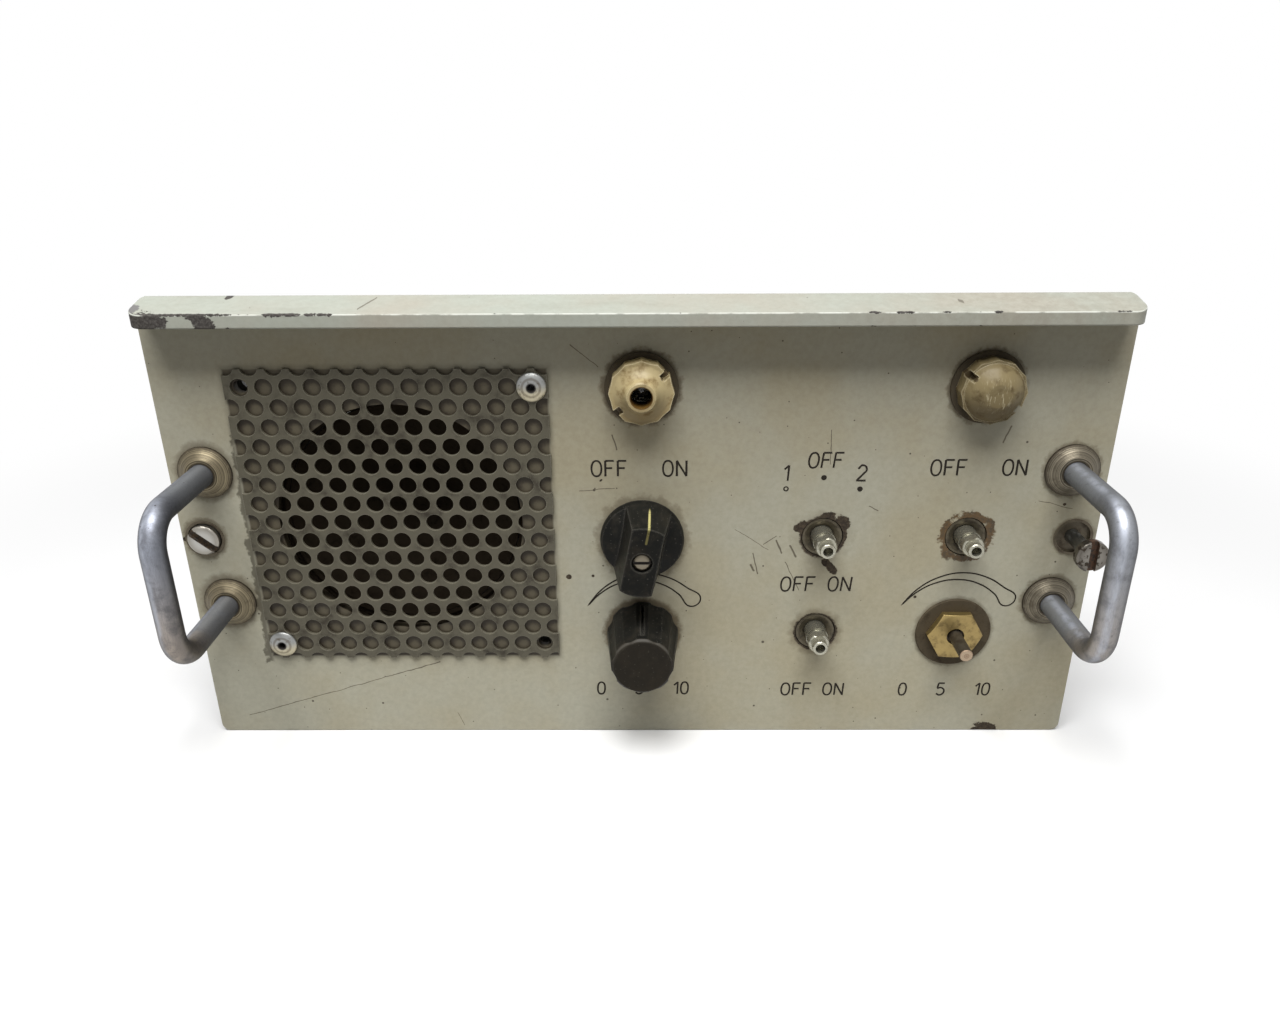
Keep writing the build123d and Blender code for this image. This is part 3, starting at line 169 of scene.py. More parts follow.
# distance, seen from the front, from a spot given as x and z
def radiusFrom(place, spot):
    return vec("DISTANCE", stretch(place, 1, 0, 1), (spot[0], 0.0, spot[1]))


def most(masks):
    total = masks[0]
    for mask in masks[1:]:
        total = calc("MAXIMUM", total, mask)
    return total


def tint(red, green, blue):
    def level(value):
        share = value / 255
        return share / 12.92 if share <= 0.04045 else ((share + 0.055) / 1.055) ** 2.4
    return (level(red), level(green), level(blue), 1.0)


def newFinish(name, roughness, metallic=0.0, specular=0.5):
    material = bpy.data.materials.new(name)
    material.use_nodes = True
    made = material.node_tree.nodes
    shader = made["Principled BSDF"]
    shader.inputs["Roughness"].default_value = roughness
    shader.inputs["Metallic"].default_value = metallic
    shader.inputs["Specular IOR Level"].default_value = specular
    place = vec("SCALE", made.new("ShaderNodeTexCoord").outputs["Object"], 1000.0)  # in millimetres
    return material, shader, place


# links what varies over the surface to the shader
def paint(shader, colour, rough=None, metal=None):
    for name, value in (("Base Color", colour), ("Roughness", rough), ("Metallic", metal)):
        if value is not None:
            feed(value, shader.inputs[name])


def emboss(shader, height, strength, depth):
    bump = shader.id_data.nodes.new("ShaderNodeBump")
    for name, value in (("Height", height), ("Strength", strength), ("Distance", depth)):
        feed(value, bump.inputs[name])
    feed(bump.outputs[0], shader.inputs["Normal"])


# shared wear: a function from inputs to a mask becomes a node group that reads a place in millimetres
def wearGroup(*labels):
    def build(makeMask):
        group = bpy.data.node_groups.new(makeMask.__name__, "ShaderNodeTree")
        group.interface.new_socket("place", in_out="INPUT", socket_type="NodeSocketVector")
        for label in labels:
            group.interface.new_socket(label, in_out="INPUT", socket_type="NodeSocketFloat")
        group.interface.new_socket("mask", in_out="OUTPUT", socket_type="NodeSocketFloat")
        mask = makeMask(group.nodes.new("NodeGroupInput").outputs)
        feed(mask, group.nodes.new("NodeGroupOutput").inputs[0])
        return group
    return build


def wear(group, place, *values):
    node = place.id_data.nodes.new("ShaderNodeGroup")
    node.node_tree = group
    for value, socket in zip((place, *values), node.inputs):
        feed(value, socket)
    return node.outputs[0]


def offsetFrom(entry):
    centre = join(entry["centreX"], 0.0, entry["centreZ"])
    return vec("SUBTRACT", stretch(entry["place"], 1, 0, 1), centre)


@wearGroup("ripple", "centreX", "centreZ", "inner", "outer", "ragged")
def dirtRing(entry):
    reach = plus(vec("LENGTH", offsetFrom(entry)), times(entry["ripple"], entry["ragged"]))
    return fade(reach, entry["outer"], entry["inner"])


@wearGroup("ripple", "centreX", "centreZ", "halfX", "halfZ", "turn", "ragged")
def chipSpot(entry):
    turned = addNode("VectorRotate", offsetFrom(entry))
    turned.rotation_type = "Y_AXIS"
    feed(entry["turn"], turned.inputs["Angle"])
    scaled = vec("DIVIDE", turned.outputs[0], join(entry["halfX"], 1.0, entry["halfZ"]))
    reach = plus(vec("LENGTH", scaled), times(entry["ripple"], entry["ragged"]))
    return fade(reach, 1.05, 0.95)


@wearGroup("thin", "startX", "startZ", "endX", "endZ", "width")
def scratchLine(entry):
    start = join(entry["startX"], 0.0, entry["startZ"])
    run = vec("SUBTRACT", join(entry["endX"], 0.0, entry["endZ"]), start)
    offset = vec("SUBTRACT", stretch(entry["place"], 1, 0, 1), start)
    share = calc("DIVIDE", vec("DOT_PRODUCT", offset, run), vec("DOT_PRODUCT", run, run), True)
    gap = vec("DISTANCE", offset, vec("SCALE", run, share))
    thick = times(entry["width"], entry["thin"])
    return fade(gap, thick, times(thick, 0.4))


@wearGroup("ripple", "startX", "endX", "edgeY", "edgeZ", "depth")
def edgeFlake(entry):
    part = axes(entry["place"])
    inside = calc("MINIMUM", minus(part[0], entry["startX"]), minus(entry["endX"], part[0]))
    reach = vec("DISTANCE", join(0.0, part[1], part[2]), join(0.0, entry["edgeY"], entry["edgeZ"]))
    ragged = plus(0.75, times(entry["ripple"], 3.6))
    allowed = times(times(entry["depth"], ragged), fade(inside, -0.4, 1.4))
    return fade(minus(reach, allowed), 0.06, -0.06)


@wearGroup("spacing", "radius", "share")
def speckle(entry):
    part = axes(entry["place"])
    flat = join(part[0], plus(part[2], times(part[1], 0.83)), 0.0)
    cell = addNode("TexVoronoi", vec("SCALE", flat, calc("DIVIDE", 1.0, entry["spacing"])))
    cell.voronoi_dimensions = "2D"
    cell.inputs["Scale"].default_value = 1.0
    chance = axes(cell.outputs["Color"])
    gap = times(cell.outputs["Distance"], entry["spacing"])
    size = times(entry["radius"], plus(chance[1], 0.35))
    dot = fade(gap, size, times(size, 0.55))
    return times(dot, calc("LESS_THAN", chance[0], entry["share"]))


@wearGroup("radius", "patchy")
def edgeRub(entry):
    rounded = addNode("Bevel", times(entry["radius"], 0.001))
    rounded.samples = 4
    facing = entry["place"].id_data.nodes.new("ShaderNodeNewGeometry")
    turn = vec("DOT_PRODUCT", rounded.outputs[0], facing.outputs["Normal"])
    broken = times(entry["patchy"], ripple(entry["place"], 0.7, 5.0, 0.65))
    edge = plus(fade(turn, 0.99, 0.86), broken)
    return fade(edge, 0.35, 0.85)


@wearGroup("reach", "pitch")
def turnedMarks(entry):
    ring = entry["place"].id_data.nodes.new("ShaderNodeTexNoise")
    ring.noise_dimensions = "1D"
    ring.inputs["Scale"].default_value = 1.0
    ring.inputs["Detail"].default_value = 2.0
    feed(calc("DIVIDE", entry["reach"], entry["pitch"]), ring.inputs["W"])
    return fade(ring.outputs[0], 0.36, 0.66)


print("wear groups made")


# front panel: grey-green enamel with grime, specks, chips and scratches, painted shade darkening it toward the
# visor, and painted shadow round and behind the grille
panelLook = {
    "paint": tint(187, 185, 167), "paintWarm": tint(182, 175, 150), "grime": tint(84, 68, 44),
    "speck": tint(58, 48, 38), "bare": tint(50, 43, 36), "barePale": tint(88, 77, 62), "line": tint(80, 71, 57),
    "specks": [(21.0, 0.5, 0.45), (8.0, 0.24, 0.3)], "rough": 0.42, "specular": 0.3,
    # place, inner, outer, ragged, strength
    "rings": [*[((side * handleX, row), 9.2, 12.4 - side, 5, 0.7) for side in (-1, 1) for row in handleRows],
              (screwLeft, 6.9, 9.0, 4, 0.75), (screwRight, 6.6, 8.6, 4, 0.6), (lampLeft, 12.2, 15.0, 5, 0.95),
              (lampRight, 12.2, 14.4, 5, 0.85), (power, 14.6, 18.5, 9, 0.6), (volume, 13.0, 15.4, 4, 0.95),
              (upper, 7.4, 15.0, 10, 0.35), (lower, 7.4, 11.5, 6, 0.6), (backlight, 13.4, 15.4, 3, 0.6)],
    "rust": [(right, 9.3, 10.2, 6, 1.0), ((right[0] - 5.2, right[1] - 6.0), 2.4, 3.8, 5, 1.0)],
    "rustTone": tint(84, 57, 20), "rustDark": tint(50, 35, 15),
    "crust": (0.33, 0.45, 0.3, 5, 0.65), "rustMix": (0.4, 0.62, 0.7, 5, 0.7),
    # offset from the upper switch: x, z, half width, half height, turn, ragged
    "switchChips": [(0.0, 0.0, 8.1, 8.1, 0.0, 0.3), (-7.2, 4.0, 2.9, 2.0, 0.4, 1.2),
                    (1.3, 8.0, 2.9, 1.7, 0.1, 1.3), (6.5, 5.2, 2.9, 3.1, 0.2, 1.1),
                    (6.7, -0.4, 1.7, 3.8, -0.25, 1.0), (2.0, -9.9, 1.4, 1.9, 0.55, 1.0),
                    (3.9, -12.0, 1.5, 3.3, 0.72, 1.1)],
    "chips": [(*lower, 7.9, 7.8, 0.0, 0.3), (*right, 7.0, 7.0, 0.0, 0.3), (132.4, 1.3, 4.2, 2.1, -0.25, 1.3),
              (128.4, 0.3, 1.6, 1.0, 0.0, 1.2), (-24.6, 65.9, 1.0, 1.0, 0.0, 0.7),
              (-16.0, 66.3, 0.55, 0.55, 0.0, 0.5), (99.5, 57.6, 0.55, 0.55, 0.0, 0.5),
              (-12.4, 102.9, 0.6, 0.35, 0.6, 1.0), (-158.6, 81.0, 1.3, 1.1, 0.0, 1.2),
              (147.0, 93.6, 0.6, 0.5, 0.0, 1.0)],
    # start x, z, end x, z, width
    "scratches": [(-148.7, 6.9, -73.8, 30.5, 0.2), (-92.0, 24.8, -73.8, 30.5, 0.3),
                  (-21.4, 149.8, -12.5, 142.5, 0.2), (-8.4, 119.2, -6.8, 113.9, 0.4),
                  (65.1, 120.7, 65.4, 108.5, 0.22), (122.6, 116.3, 124.8, 121.9, 0.45),
                  (34.0, 84.5, 46.0, 76.5, 0.16), (44.3, 78.7, 48.7, 81.8, 0.24), (48.7, 79.9, 50.5, 75.2, 0.5),
                  (53.5, 77.9, 55.8, 74.0, 0.55), (52.1, 71.7, 57.4, 60.5, 0.24), (40.6, 75.0, 42.6, 67.0, 0.3),
                  (40.0, 70.5, 41.2, 68.3, 0.55), (83.0, 91.5, 80.0, 93.0, 0.25),
                  (-20.0, 99.0, -8.0, 100.0, 0.2), (-69.0, 8.0, -66.8, 2.0, 0.16),
                  (150.0, 92.0, 138.0, 95.0, 0.18)],
    "grilleSpread": (0.9, 0.0), "grilleLean": (-0.6, 2.0), "leanHeight": (128.0, 106.0), "grillePitch": 8.0,
    # painted shade toward the visor; dirt left of the grille with painted shadow round its sheet (band); dirt and
    # painted shadow in the grille holes
    "holeReach": (0.4, 3.0), "holeShift": (0.3, 0.0, -0.9), "filmHeight": (15.0, 165.0),
    "holeFloor": tint(92, 85, 69), "holeDeep": tint(54, 47, 36), "band": tint(80, 75, 61), "film": 0.3,
}


# rings of dirt or rust: place, inner, outer, ragged, strength
def ringDirt(place, shake, rings):
    return [times(wear(dirtRing, place, shake, *spot, *values), strength) for spot, *values, strength in rings]


# how far a place lies outside the grille, the dirt beside it, spread further on its left, and a painted shadow
# under the sheet and just round its edges
def grilleDirtAndShadow(look, place, shake):
    low, high = corners("speaker_grille")
    centre, half = (low + high) / 2, (high - low) / 2
    away = axes(vec("SUBTRACT", vec("ABSOLUTE", vec("SUBTRACT", place, tuple(centre))), tuple(half)))
    outside, spot = calc("MAXIMUM", away[0], away[2]), axes(place)
    least, more = look["grilleLean"]
    lean = plus(least, times(fade(spot[2], *look["leanHeight"]), more))
    ragged = plus(times(shake, 4.0), times(ripple(place, 0.1, 3.0), 7.0))
    reach = minus(outside, minus(lean, ragged))
    band = times(fade(reach, *look["grilleSpread"]), fade(spot[0], low.x + 1, low.x - 1))
    # painted shadow of the sheet: darker under it and up to 2 mm beyond its edges
    return outside, times(most([band, times(fade(outside, 2.0, -0.4), 0.4)]), 0.8)


# the panel seen through each grille hole: dirt round its rim, thinner at its middle, and painted shadow of the
# sheet, whose lighter middle is shifted down so the upper part is darker
def holeDirtAndShadow(look, place, shake):
    centre, pitch = middle("speaker_grille"), look["grillePitch"]
    rise = pitch * math.sqrt(3)
    reaches = []
    for startX, startZ in ((pitch / 2, 0.0), (0.0, rise / 2)):
        corner = Vector((centre[0] + startX - pitch / 2, 0.0, centre[1] + startZ - rise / 2))
        offset = vec("SUBTRACT", place, tuple(corner + Vector(look["holeShift"])))
        cell = vec("FRACTION", stretch(offset, 1 / pitch, 0, 1 / rise))
        reaches.append(vec("LENGTH", stretch(vec("SUBTRACT", cell, (0.5, 0.0, 0.5)), pitch, 0, rise)))
    reach = plus(calc("MINIMUM", *reaches), times(shake, 3.6))
    return blend(fade(reach, *look["holeReach"]), look["holeFloor"], look["holeDeep"])


enamelLook = {
    "cloud": (0.35, 0.68, 0.018, 4, 0.6), "mottle": (0.3, 0.75, 0.5, 6, 0.75),
    "rusting": (0.35, 0.75, 1.1, 5, 0.7), "gloss": (0.09, 5, 0.6), "skin": (1.6, 2, 0.5), "bump": (0.5, 0.0002),
}


# paint with clouds, mottling, grime and painted shade, specks, scratches and bare chips
def enamel(look, shader, place, grime, chips, lines):
    colour = blend(patches(place, *enamelLook["cloud"]), look["paint"], look["paintWarm"])
    colour = coat(colour, patches(place, *enamelLook["mottle"]), 0.16, look["grime"])
    colour = coat(colour, grime, 0.82, look["grime"])
    specks = most([wear(speckle, place, *values) for values in look["specks"]])
    colour = coat(colour, specks, 0.85, look["speck"])
    colour = coat(colour, most(lines), 0.85, look["line"])
    flaked = most(chips)
    bare = blend(patches(place, *enamelLook["rusting"]), look["bare"], look["barePale"])
    gloss = plus(look["rough"], times(grain(place, *enamelLook["gloss"]), 0.2))
    worn = plus(times(grime, 0.25), times(flaked, 0.35))
    feed(plus(gloss, worn), shader.inputs["Roughness"])
    skin = times(grain(place, *enamelLook["skin"]), 0.12)
    emboss(shader, minus(skin, times(flaked, 0.9)), *enamelLook["bump"])
    return blend(flaked, colour, bare)


def makePanelFinish(look):
    material, shader, place = newFinish("panelEnamel", look["rough"], 0.0, look["specular"])
    flake, shake = ripple(place, 0.85, 8, 0.7), ripple(place, 0.32)
    spots = [(upper[0] + x, upper[1] + z, *rest) for x, z, *rest in look["switchChips"]] + look["chips"]
    chips = [wear(chipSpot, place, flake, *values) for values in spots]
    wobble, thin = shaken(place, 0.2, 1.0), plus(grain(place, 0.5, 2), 0.4)
    lines = [wear(scratchLine, wobble, thin, *values) for values in look["scratches"]]
    film = times(fade(axes(place)[2], *look["filmHeight"]), look["film"])  # painted shade, darker toward the visor
    # dirt rings round the controls together with the painted shade toward the visor
    grime = most([*ringDirt(place, shake, look["rings"]), film])
    colour = enamel(look, shader, place, grime, chips, lines)
    # dirt left of the grille and painted shadow round the sheet
    outside, band = grilleDirtAndShadow(look, place, shake)
    colour = blend(band, colour, look["band"])
    rust = most(ringDirt(place, ripple(place, 0.45), look["rust"]))
    crust = times(times(rust, patches(place, *look["crust"])), minus(1.0, most(chips)))
    rusty = blend(patches(place, *look["rustMix"]), look["rustTone"], look["rustDark"])
    colour = coat(colour, crust, 0.9, rusty)
    # behind the grille the panel takes the hole tones: dirt and painted shadow
    paint(shader, blend(fade(outside, 0.2, -0.8), colour, holeDirtAndShadow(look, place, shake)))
    return material


# visor: the same enamel, paler and greener, flaked along the edges of its front lip, with painted shade under the
# lip and a painted highlight along the lip's top edge
lipY, lipTop, lipFoot, visorSlope = corners("panel_visor")[0].y, 162.5, 157.95, 13.0
visorLook = {
    "paint": tint(168, 172, 161), "paintWarm": tint(168, 164, 151), "grime": tint(104, 94, 75),
    "speck": tint(70, 62, 52), "bare": tint(50, 46, 43), "barePale": tint(96, 92, 88), "line": tint(96, 90, 78),
    "specks": [(24.0, 0.4, 0.3), (11.0, 0.22, 0.25)], "rough": 0.4, "specular": 0.35,
    # start x, end x, depth
    "topFlakes": [(-154.0, -140.5, 0.7), (-142.0, -126.0, 0.75), (-127.2, -123.6, 0.55), (-122.5, -121.0, 0.4),
                  (-119.9, -118.2, 0.4), (-115.0, -102.4, 0.85), (-102.0, -92.8, 0.8), (70.9, 75.4, 0.65),
                  (79.3, 85.5, 0.55), (93.2, 96.8, 0.5), (100.7, 102.0, 0.4), (104.6, 105.8, 0.4),
                  (109.2, 112.4, 0.8), (146.5, 151.5, 0.6), (-44.0, -42.6, 0.4), (13.0, 14.6, 0.35)],
    "footFlakes": [(-127.2, -124.4, 0.6), (-118.7, -116.8, 0.4), (-98.0, -96.6, 0.4), (71.4, 74.5, 0.5),
                   (85.0, 86.4, 0.45), (104.6, 107.0, 0.75), (-71.0, -69.4, 0.4), (31.0, 32.4, 0.4)],
    # on the lip's face: x, z, half width, half height, turn, ragged
    "chips": [(-151.4, 160.2, 8.2, 2.6, -0.05, 1.5), (-134.4, 159.8, 4.9, 2.4, -0.12, 1.6)],
    "backChip": (-129.0, 165.5, 1.2, 0.45, 0.1, 0.9), "lipReach": 6.0,
    "patch": (-140.4, 158.7, 4.4, 2.7, 0.0, 0.7),
    "cornerBare": (-157.4, 163.4, 3.1, 0.85, 0.0, 1.1), "cornerStart": (-148.0, -152.0),
    "cornerTone": tint(110, 108, 107), "rub": tint(226, 228, 218), "rubNoise": (0.36, 0.56, 0.16, 4),
    "filmNoise": (0.5, 0.75, 0.12, 5), "dustNoise": (0.25, 0.7, 0.3, 5, 0.7), "dustSide": (10.0, 140.0),
    "scratches": [(-86.0, 163.4, -82.0, 165.2, 0.25), (100.6, 164.4, 101.6, 164.2, 0.4)],
}


def makeVisorFinish(look):
    material, shader, place = newFinish("visorEnamel", look["rough"], 0.0, look["specular"])
    flake, part = ripple(place, 0.8, 8, 0.7), axes(place)
    front = fade(part[1], lipY + look["lipReach"] + 1.0, lipY + look["lipReach"])
    kept = minus(front, wear(chipSpot, place, flake, *look["patch"]), True)
    chips = [times(wear(chipSpot, place, flake, *values), kept) for values in look["chips"]]
    chips.append(wear(chipSpot, place, flake, *look["backChip"]))
    for edge, flakes in ((lipTop, look["topFlakes"]), (lipFoot, look["footFlakes"])):
        chips += [wear(edgeFlake, place, flake, start, end, lipY, edge, depth) for start, end, depth in flakes]
    # painted shade under the lip, darker below its foot
    under = times(fade(part[2], lipFoot + 0.25, lipFoot - 1.4), 0.6)
    film = times(patches(stretch(place, 0.3, 1, 1), *look["filmNoise"]), 0.2)
    dusty = times(fade(part[0], *look["dustSide"]), patches(place, *look["dustNoise"]))
    thin = plus(grain(place, 0.5, 2), 0.4)
    lines = [wear(scratchLine, place, thin, *values) for values in look["scratches"]]
    colour = enamel(look, shader, place, most([under, film, times(dusty, 0.3)]), chips, lines)
    colour = blend(wear(chipSpot, place, flake, *look["cornerBare"]), colour, look["cornerTone"])
    # a painted highlight in a thin band just below the lip's top edge, broken where the paint is chipped
    rise = times(minus(part[1], lipY), math.tan(math.radians(visorSlope)))
    drop = minus(plus(lipTop, rise), part[2])  # below the line of the sloping top
    edge = times(times(fade(drop, 0.0, 0.14), fade(drop, 0.6, 0.34)), front)
    whole = calc("MAXIMUM", minus(1.0, most(chips)), fade(part[0], *look["cornerStart"]))
    edge = times(times(edge, whole), patches(place, *look["rubNoise"]))
    paint(shader, coat(colour, edge, 0.75, look["rub"]))
    return material


# metals: bright and dull tones, roughness, how much is dull, patch scale, metallic, streaks, rubbed edges
def makeMetal(name, bright, dull, roughness, share, scale=0.25, metallic=1.0, streak=(1, 1, 1), rub=0.0):
    material, shader, place = newFinish(name, roughness, metallic)
    stain = patches(place, 0.62 - 0.35 * share, 0.9 - 0.3 * share, scale, 6, 0.62)
    lines = grain(stretch(place, *streak), 1.0, 3, 0.6)
    colour = coat(blend(stain, bright, dull), lines, 0.35, dull)
    if rub:
        shine = tuple(min(1.0, level * 1.6) for level in bright)
        colour = coat(colour, wear(edgeRub, place, rub, 0.6), 0.7, shine)
    paint(shader, colour, plus(roughness - 0.06, times(stain, 0.22)))
    emboss(shader, lines, 0.18, 0.00015)
    return material


# plastics, papers and rubbers: clean and worn tones, roughness, how much is worn, patch scale, then surface
def makeMoulded(name, tone, worn, roughness, share=0.4, scale=0.3, bump=0.1, weave=(1, 1, 1), fine=2.0,
                specular=0.4, rub=0.0, rubTone=(1, 1, 1, 1)):
    material, shader, place = newFinish(name, roughness, 0.0, specular)
    stain = patches(place, 0.7 - 0.4 * share, 0.95 - 0.3 * share, scale, 6, 0.62)
    pores = grain(stretch(place, *weave), fine, 3, 0.6)
    colour = coat(blend(stain, tone, worn), pores, 0.22, worn)
    if rub:
        colour = coat(colour, wear(edgeRub, place, rub, 0.9), 0.75, rubTone)
    paint(shader, colour, plus(roughness - 0.05, times(stain, 0.2)))
    emboss(shader, pores, bump, 0.0002)
    return material


# handles: satin rod with painted reflection, bluish above and warmer below, a painted highlight along their
# left-facing sides, painted shade on right-facing sides and toward their outline, duller on the legs, with small
# pits
handleLook = {
    "left": {"high": tint(142, 146, 156), "low": tint(164, 153, 141), "leg": tint(146, 149, 152),
             "haze": tint(84, 84, 88)},
    "right": {"high": tint(140, 143, 149), "low": tint(156, 150, 145), "leg": tint(142, 145, 149),
              "haze": tint(94, 94, 98)},
    "pit": tint(44, 40, 38), "rim": tint(60, 60, 62), "streak": tint(186, 191, 203), "rough": 0.46,
    "metallic": 0.75, "legs": (12.0, 24.0), "hazeNoise": (0.42, 0.68, 0.16, 7, 0.66), "pits": (4.2, 0.42, 0.42),
    "rubNoise": (0.3, 0.6, 0.3, 5, 0.65), "pitNoise": (0.44, 0.56, 0.06, 3),
}


def makeHandleFinish(look):
    material, shader, place = newFinish("handleSteel", look["rough"], look["metallic"])
    made, part = material.node_tree.nodes, axes(place)
    side = fade(part[0], -1.0, 1.0)
    tones = {key: blend(side, tone, look["right"][key]) for key, tone in look["left"].items()}
    # painted reflection: bluish toward the top, warmer toward the bottom
    colour = blend(fade(part[2], handleRows[1], handleRows[0] - 6), tones["low"], tones["high"])
    haze = patches(place, *look["hazeNoise"])
    colour = coat(colour, haze, 0.6, tones["haze"])
    legs = fade(minus(part[1], gripLow.y), *look["legs"])
    colour = coat(colour, legs, 0.85, tones["leg"])
    brushed = grain(stretch(place, 2.5, 2.5, 0.3), 1.6, 3, 0.6)
    colour = coat(colour, fade(brushed, 0.4, 0.75), 0.3, tones["haze"])
    facing = axes(made.new("ShaderNodeNewGeometry").outputs["Normal"])
    # painted highlight: a bluish streak in patches along the sides facing left
    lit = calc("ABSOLUTE", plus(facing[0], 0.42))
    rubbed = times(patches(stretch(place, 1, 1, 0.3), *look["rubNoise"]), 0.6)
    colour = blend(times(fade(lit, 0.42, 0.05), rubbed), colour, look["streak"])
    # painted shade on the sides facing right and toward the rod's outline as seen
    colour = coat(colour, fade(facing[0], 0.1, 0.8), 0.5, look["rim"])
    turned = made.new("ShaderNodeLayerWeight")
    turned.inputs["Blend"].default_value = 0.5
    colour = coat(colour, fade(turned.outputs["Facing"], 0.35, 0.95), 0.75, look["rim"])
    pits = times(wear(speckle, place, *look["pits"]), patches(place, *look["pitNoise"]))
    pits = times(pits, minus(1.0, times(side, 0.75)))  # fewer on the right handle
    rough = plus(look["rough"], plus(times(haze, 0.12), times(legs, 0.14)))
    paint(shader, coat(colour, pits, 0.85, look["pit"]), rough)
    emboss(shader, minus(times(brushed, 0.3), pits), 0.22, 0.0002)
    return material


# collars: turned rings, browner on the left, dirt round the rim and the rod
collarLook = {
    "left": tint(128, 118, 95), "right": tint(120, 113, 98), "dull": tint(56, 49, 39), "rough": 0.42,
    "metallic": 0.8, "pitch": 0.34, "rim": (8.3, 9.1), "neck": (5.0, 4.3), "stain": (0.5, 0.72, 0.22, 6, 0.65),
}


def makeCollarFinish(look):
    material, shader, place = newFinish("collarSteel", look["rough"], look["metallic"])
    part = axes(place)
    folded = join(calc("ABSOLUTE", part[0]), 0.0, part[2])
    reach = calc("MINIMUM", *[vec("DISTANCE", folded, (handleX, 0.0, row)) for row in handleRows])
    marks = wear(turnedMarks, place, reach, look["pitch"])
    colour = blend(fade(part[0], -1.0, 1.0), look["left"], look["right"])
    colour = coat(colour, marks, 0.8, look["dull"])
    stain = times(patches(place, *look["stain"]), 0.6)
    edge = plus(reach, times(ripple(place, 0.5), 1.4))
    soiled = most([stain, fade(edge, *look["rim"]), fade(edge, *look["neck"])])
    paint(shader, coat(colour, soiled, 0.75, look["dull"]), plus(look["rough"], times(soiled, 0.2)))
    emboss(shader, marks, 0.3, 0.00015)
    return material


# slotted screws: nickel heads darkened toward their edges as painted shading of the dome, the right captive one
# flaked, with rusty slots
screwLook = {
    "shank": tint(104, 104, 100), "slotDark": tint(40, 32, 24), "slotNoise": (0.4, 0.65, 0.9, 5),
    "captive_screw_left": {
        "name": "screwNickelLeft", "bright": tint(176, 174, 168), "dull": tint(104, 94, 77), "flaked": 0.1,
        "rough": 0.34, "slot": tint(66, 51, 32), "turn": -40, "half": 1.36, "head": 5.2, "deep": 4.5,
        "place": screwLeft},
    "captive_screw_right": {
        "name": "screwNickelRight", "bright": tint(126, 122, 115), "dull": tint(64, 57, 49), "flaked": 0.5,
        "rough": 0.3, "slot": tint(84, 59, 41), "turn": 90, "half": 1.36, "head": 5.2, "deep": 4.5,
        "place": screwRight},
    "power_knob_screw": {
        "name": "knobScrewNickel", "bright": tint(116, 109, 95), "dull": tint(76, 68, 55), "flaked": 0.25,
        "rough": 0.34, "slot": tint(34, 29, 23), "turn": 0, "half": 0.55, "head": 3.1, "deep": 3.0,
        "place": power},
}


def makeScrewFinish(node):
    look = screwLook[node]
    material, shader, place = newFinish(look["name"], 0.3, 0.85)
    flaked = patches(place, 0.68 - 0.3 * look["flaked"], 0.74 - 0.3 * look["flaked"], 0.55, 6, 0.6)
    colour = blend(flaked, look["bright"], look["dull"])
    # painted shade: the head darkens toward its edge
    rim = fade(radiusFrom(place, look["place"]), look["head"] * 0.45, look["head"])
    colour = coat(colour, rim, 0.5, look["dull"])
    headBack = corners(node)[0].y + look["deep"]
    shank = fade(axes(place)[1], headBack, headBack + 1.0)
    colour = blend(shank, colour, screwLook["shank"])
    slot = wear(chipSpot, place, ripple(place, 0.8), *look["place"], 30.0, look["half"],
                math.radians(look["turn"]), 0.12)
    slot = times(slot, minus(1.0, shank))
    rusty = blend(patches(place, *screwLook["slotNoise"]), look["slot"], screwLook["slotDark"])
    gloss = plus(look["rough"], times(most([slot, flaked]), 0.34))
    paint(shader, blend(slot, colour, rusty), gloss, minus(0.9, times(slot, 0.8)))
    emboss(shader, grain(place, 1.4, 4, 0.6), 0.12, 0.0002)
    return material


# lamp caps: yellowed ivory with pale worn edges, brown soiling, painted shade in their notches, and an amber bore
# in the open one that darkens to painted shade deeper in
capLook = {
    "slotReach": 9.45, "slotHalf": (1.5, 1.1), "slotTone": tint(60, 47, 32), "amber": tint(88, 64, 26),
    "dark": tint(16, 12, 9), "stain": (0.46, 0.725, 0.2, 6, 0.62), "scuffs": (0.52, 0.72, 1.0, 4, 0.7),
    "lamp_cap_left": {
        "name": "capIvoryLeft", "tone": tint(174, 158, 118), "worn": tint(118, 98, 61), "slot": 38.0,
        "pale": tint(220, 210, 174), "bore": 3.7, "scratched": 0.0, "gloss": 0.25},
    "lamp_cap_right": {
        "name": "capIvoryRight", "tone": tint(124, 111, 80), "worn": tint(80, 66, 42), "slot": -34.0,
        "pale": tint(188, 178, 148), "bore": 0.0, "scratched": 0.85, "gloss": 0.18},
}


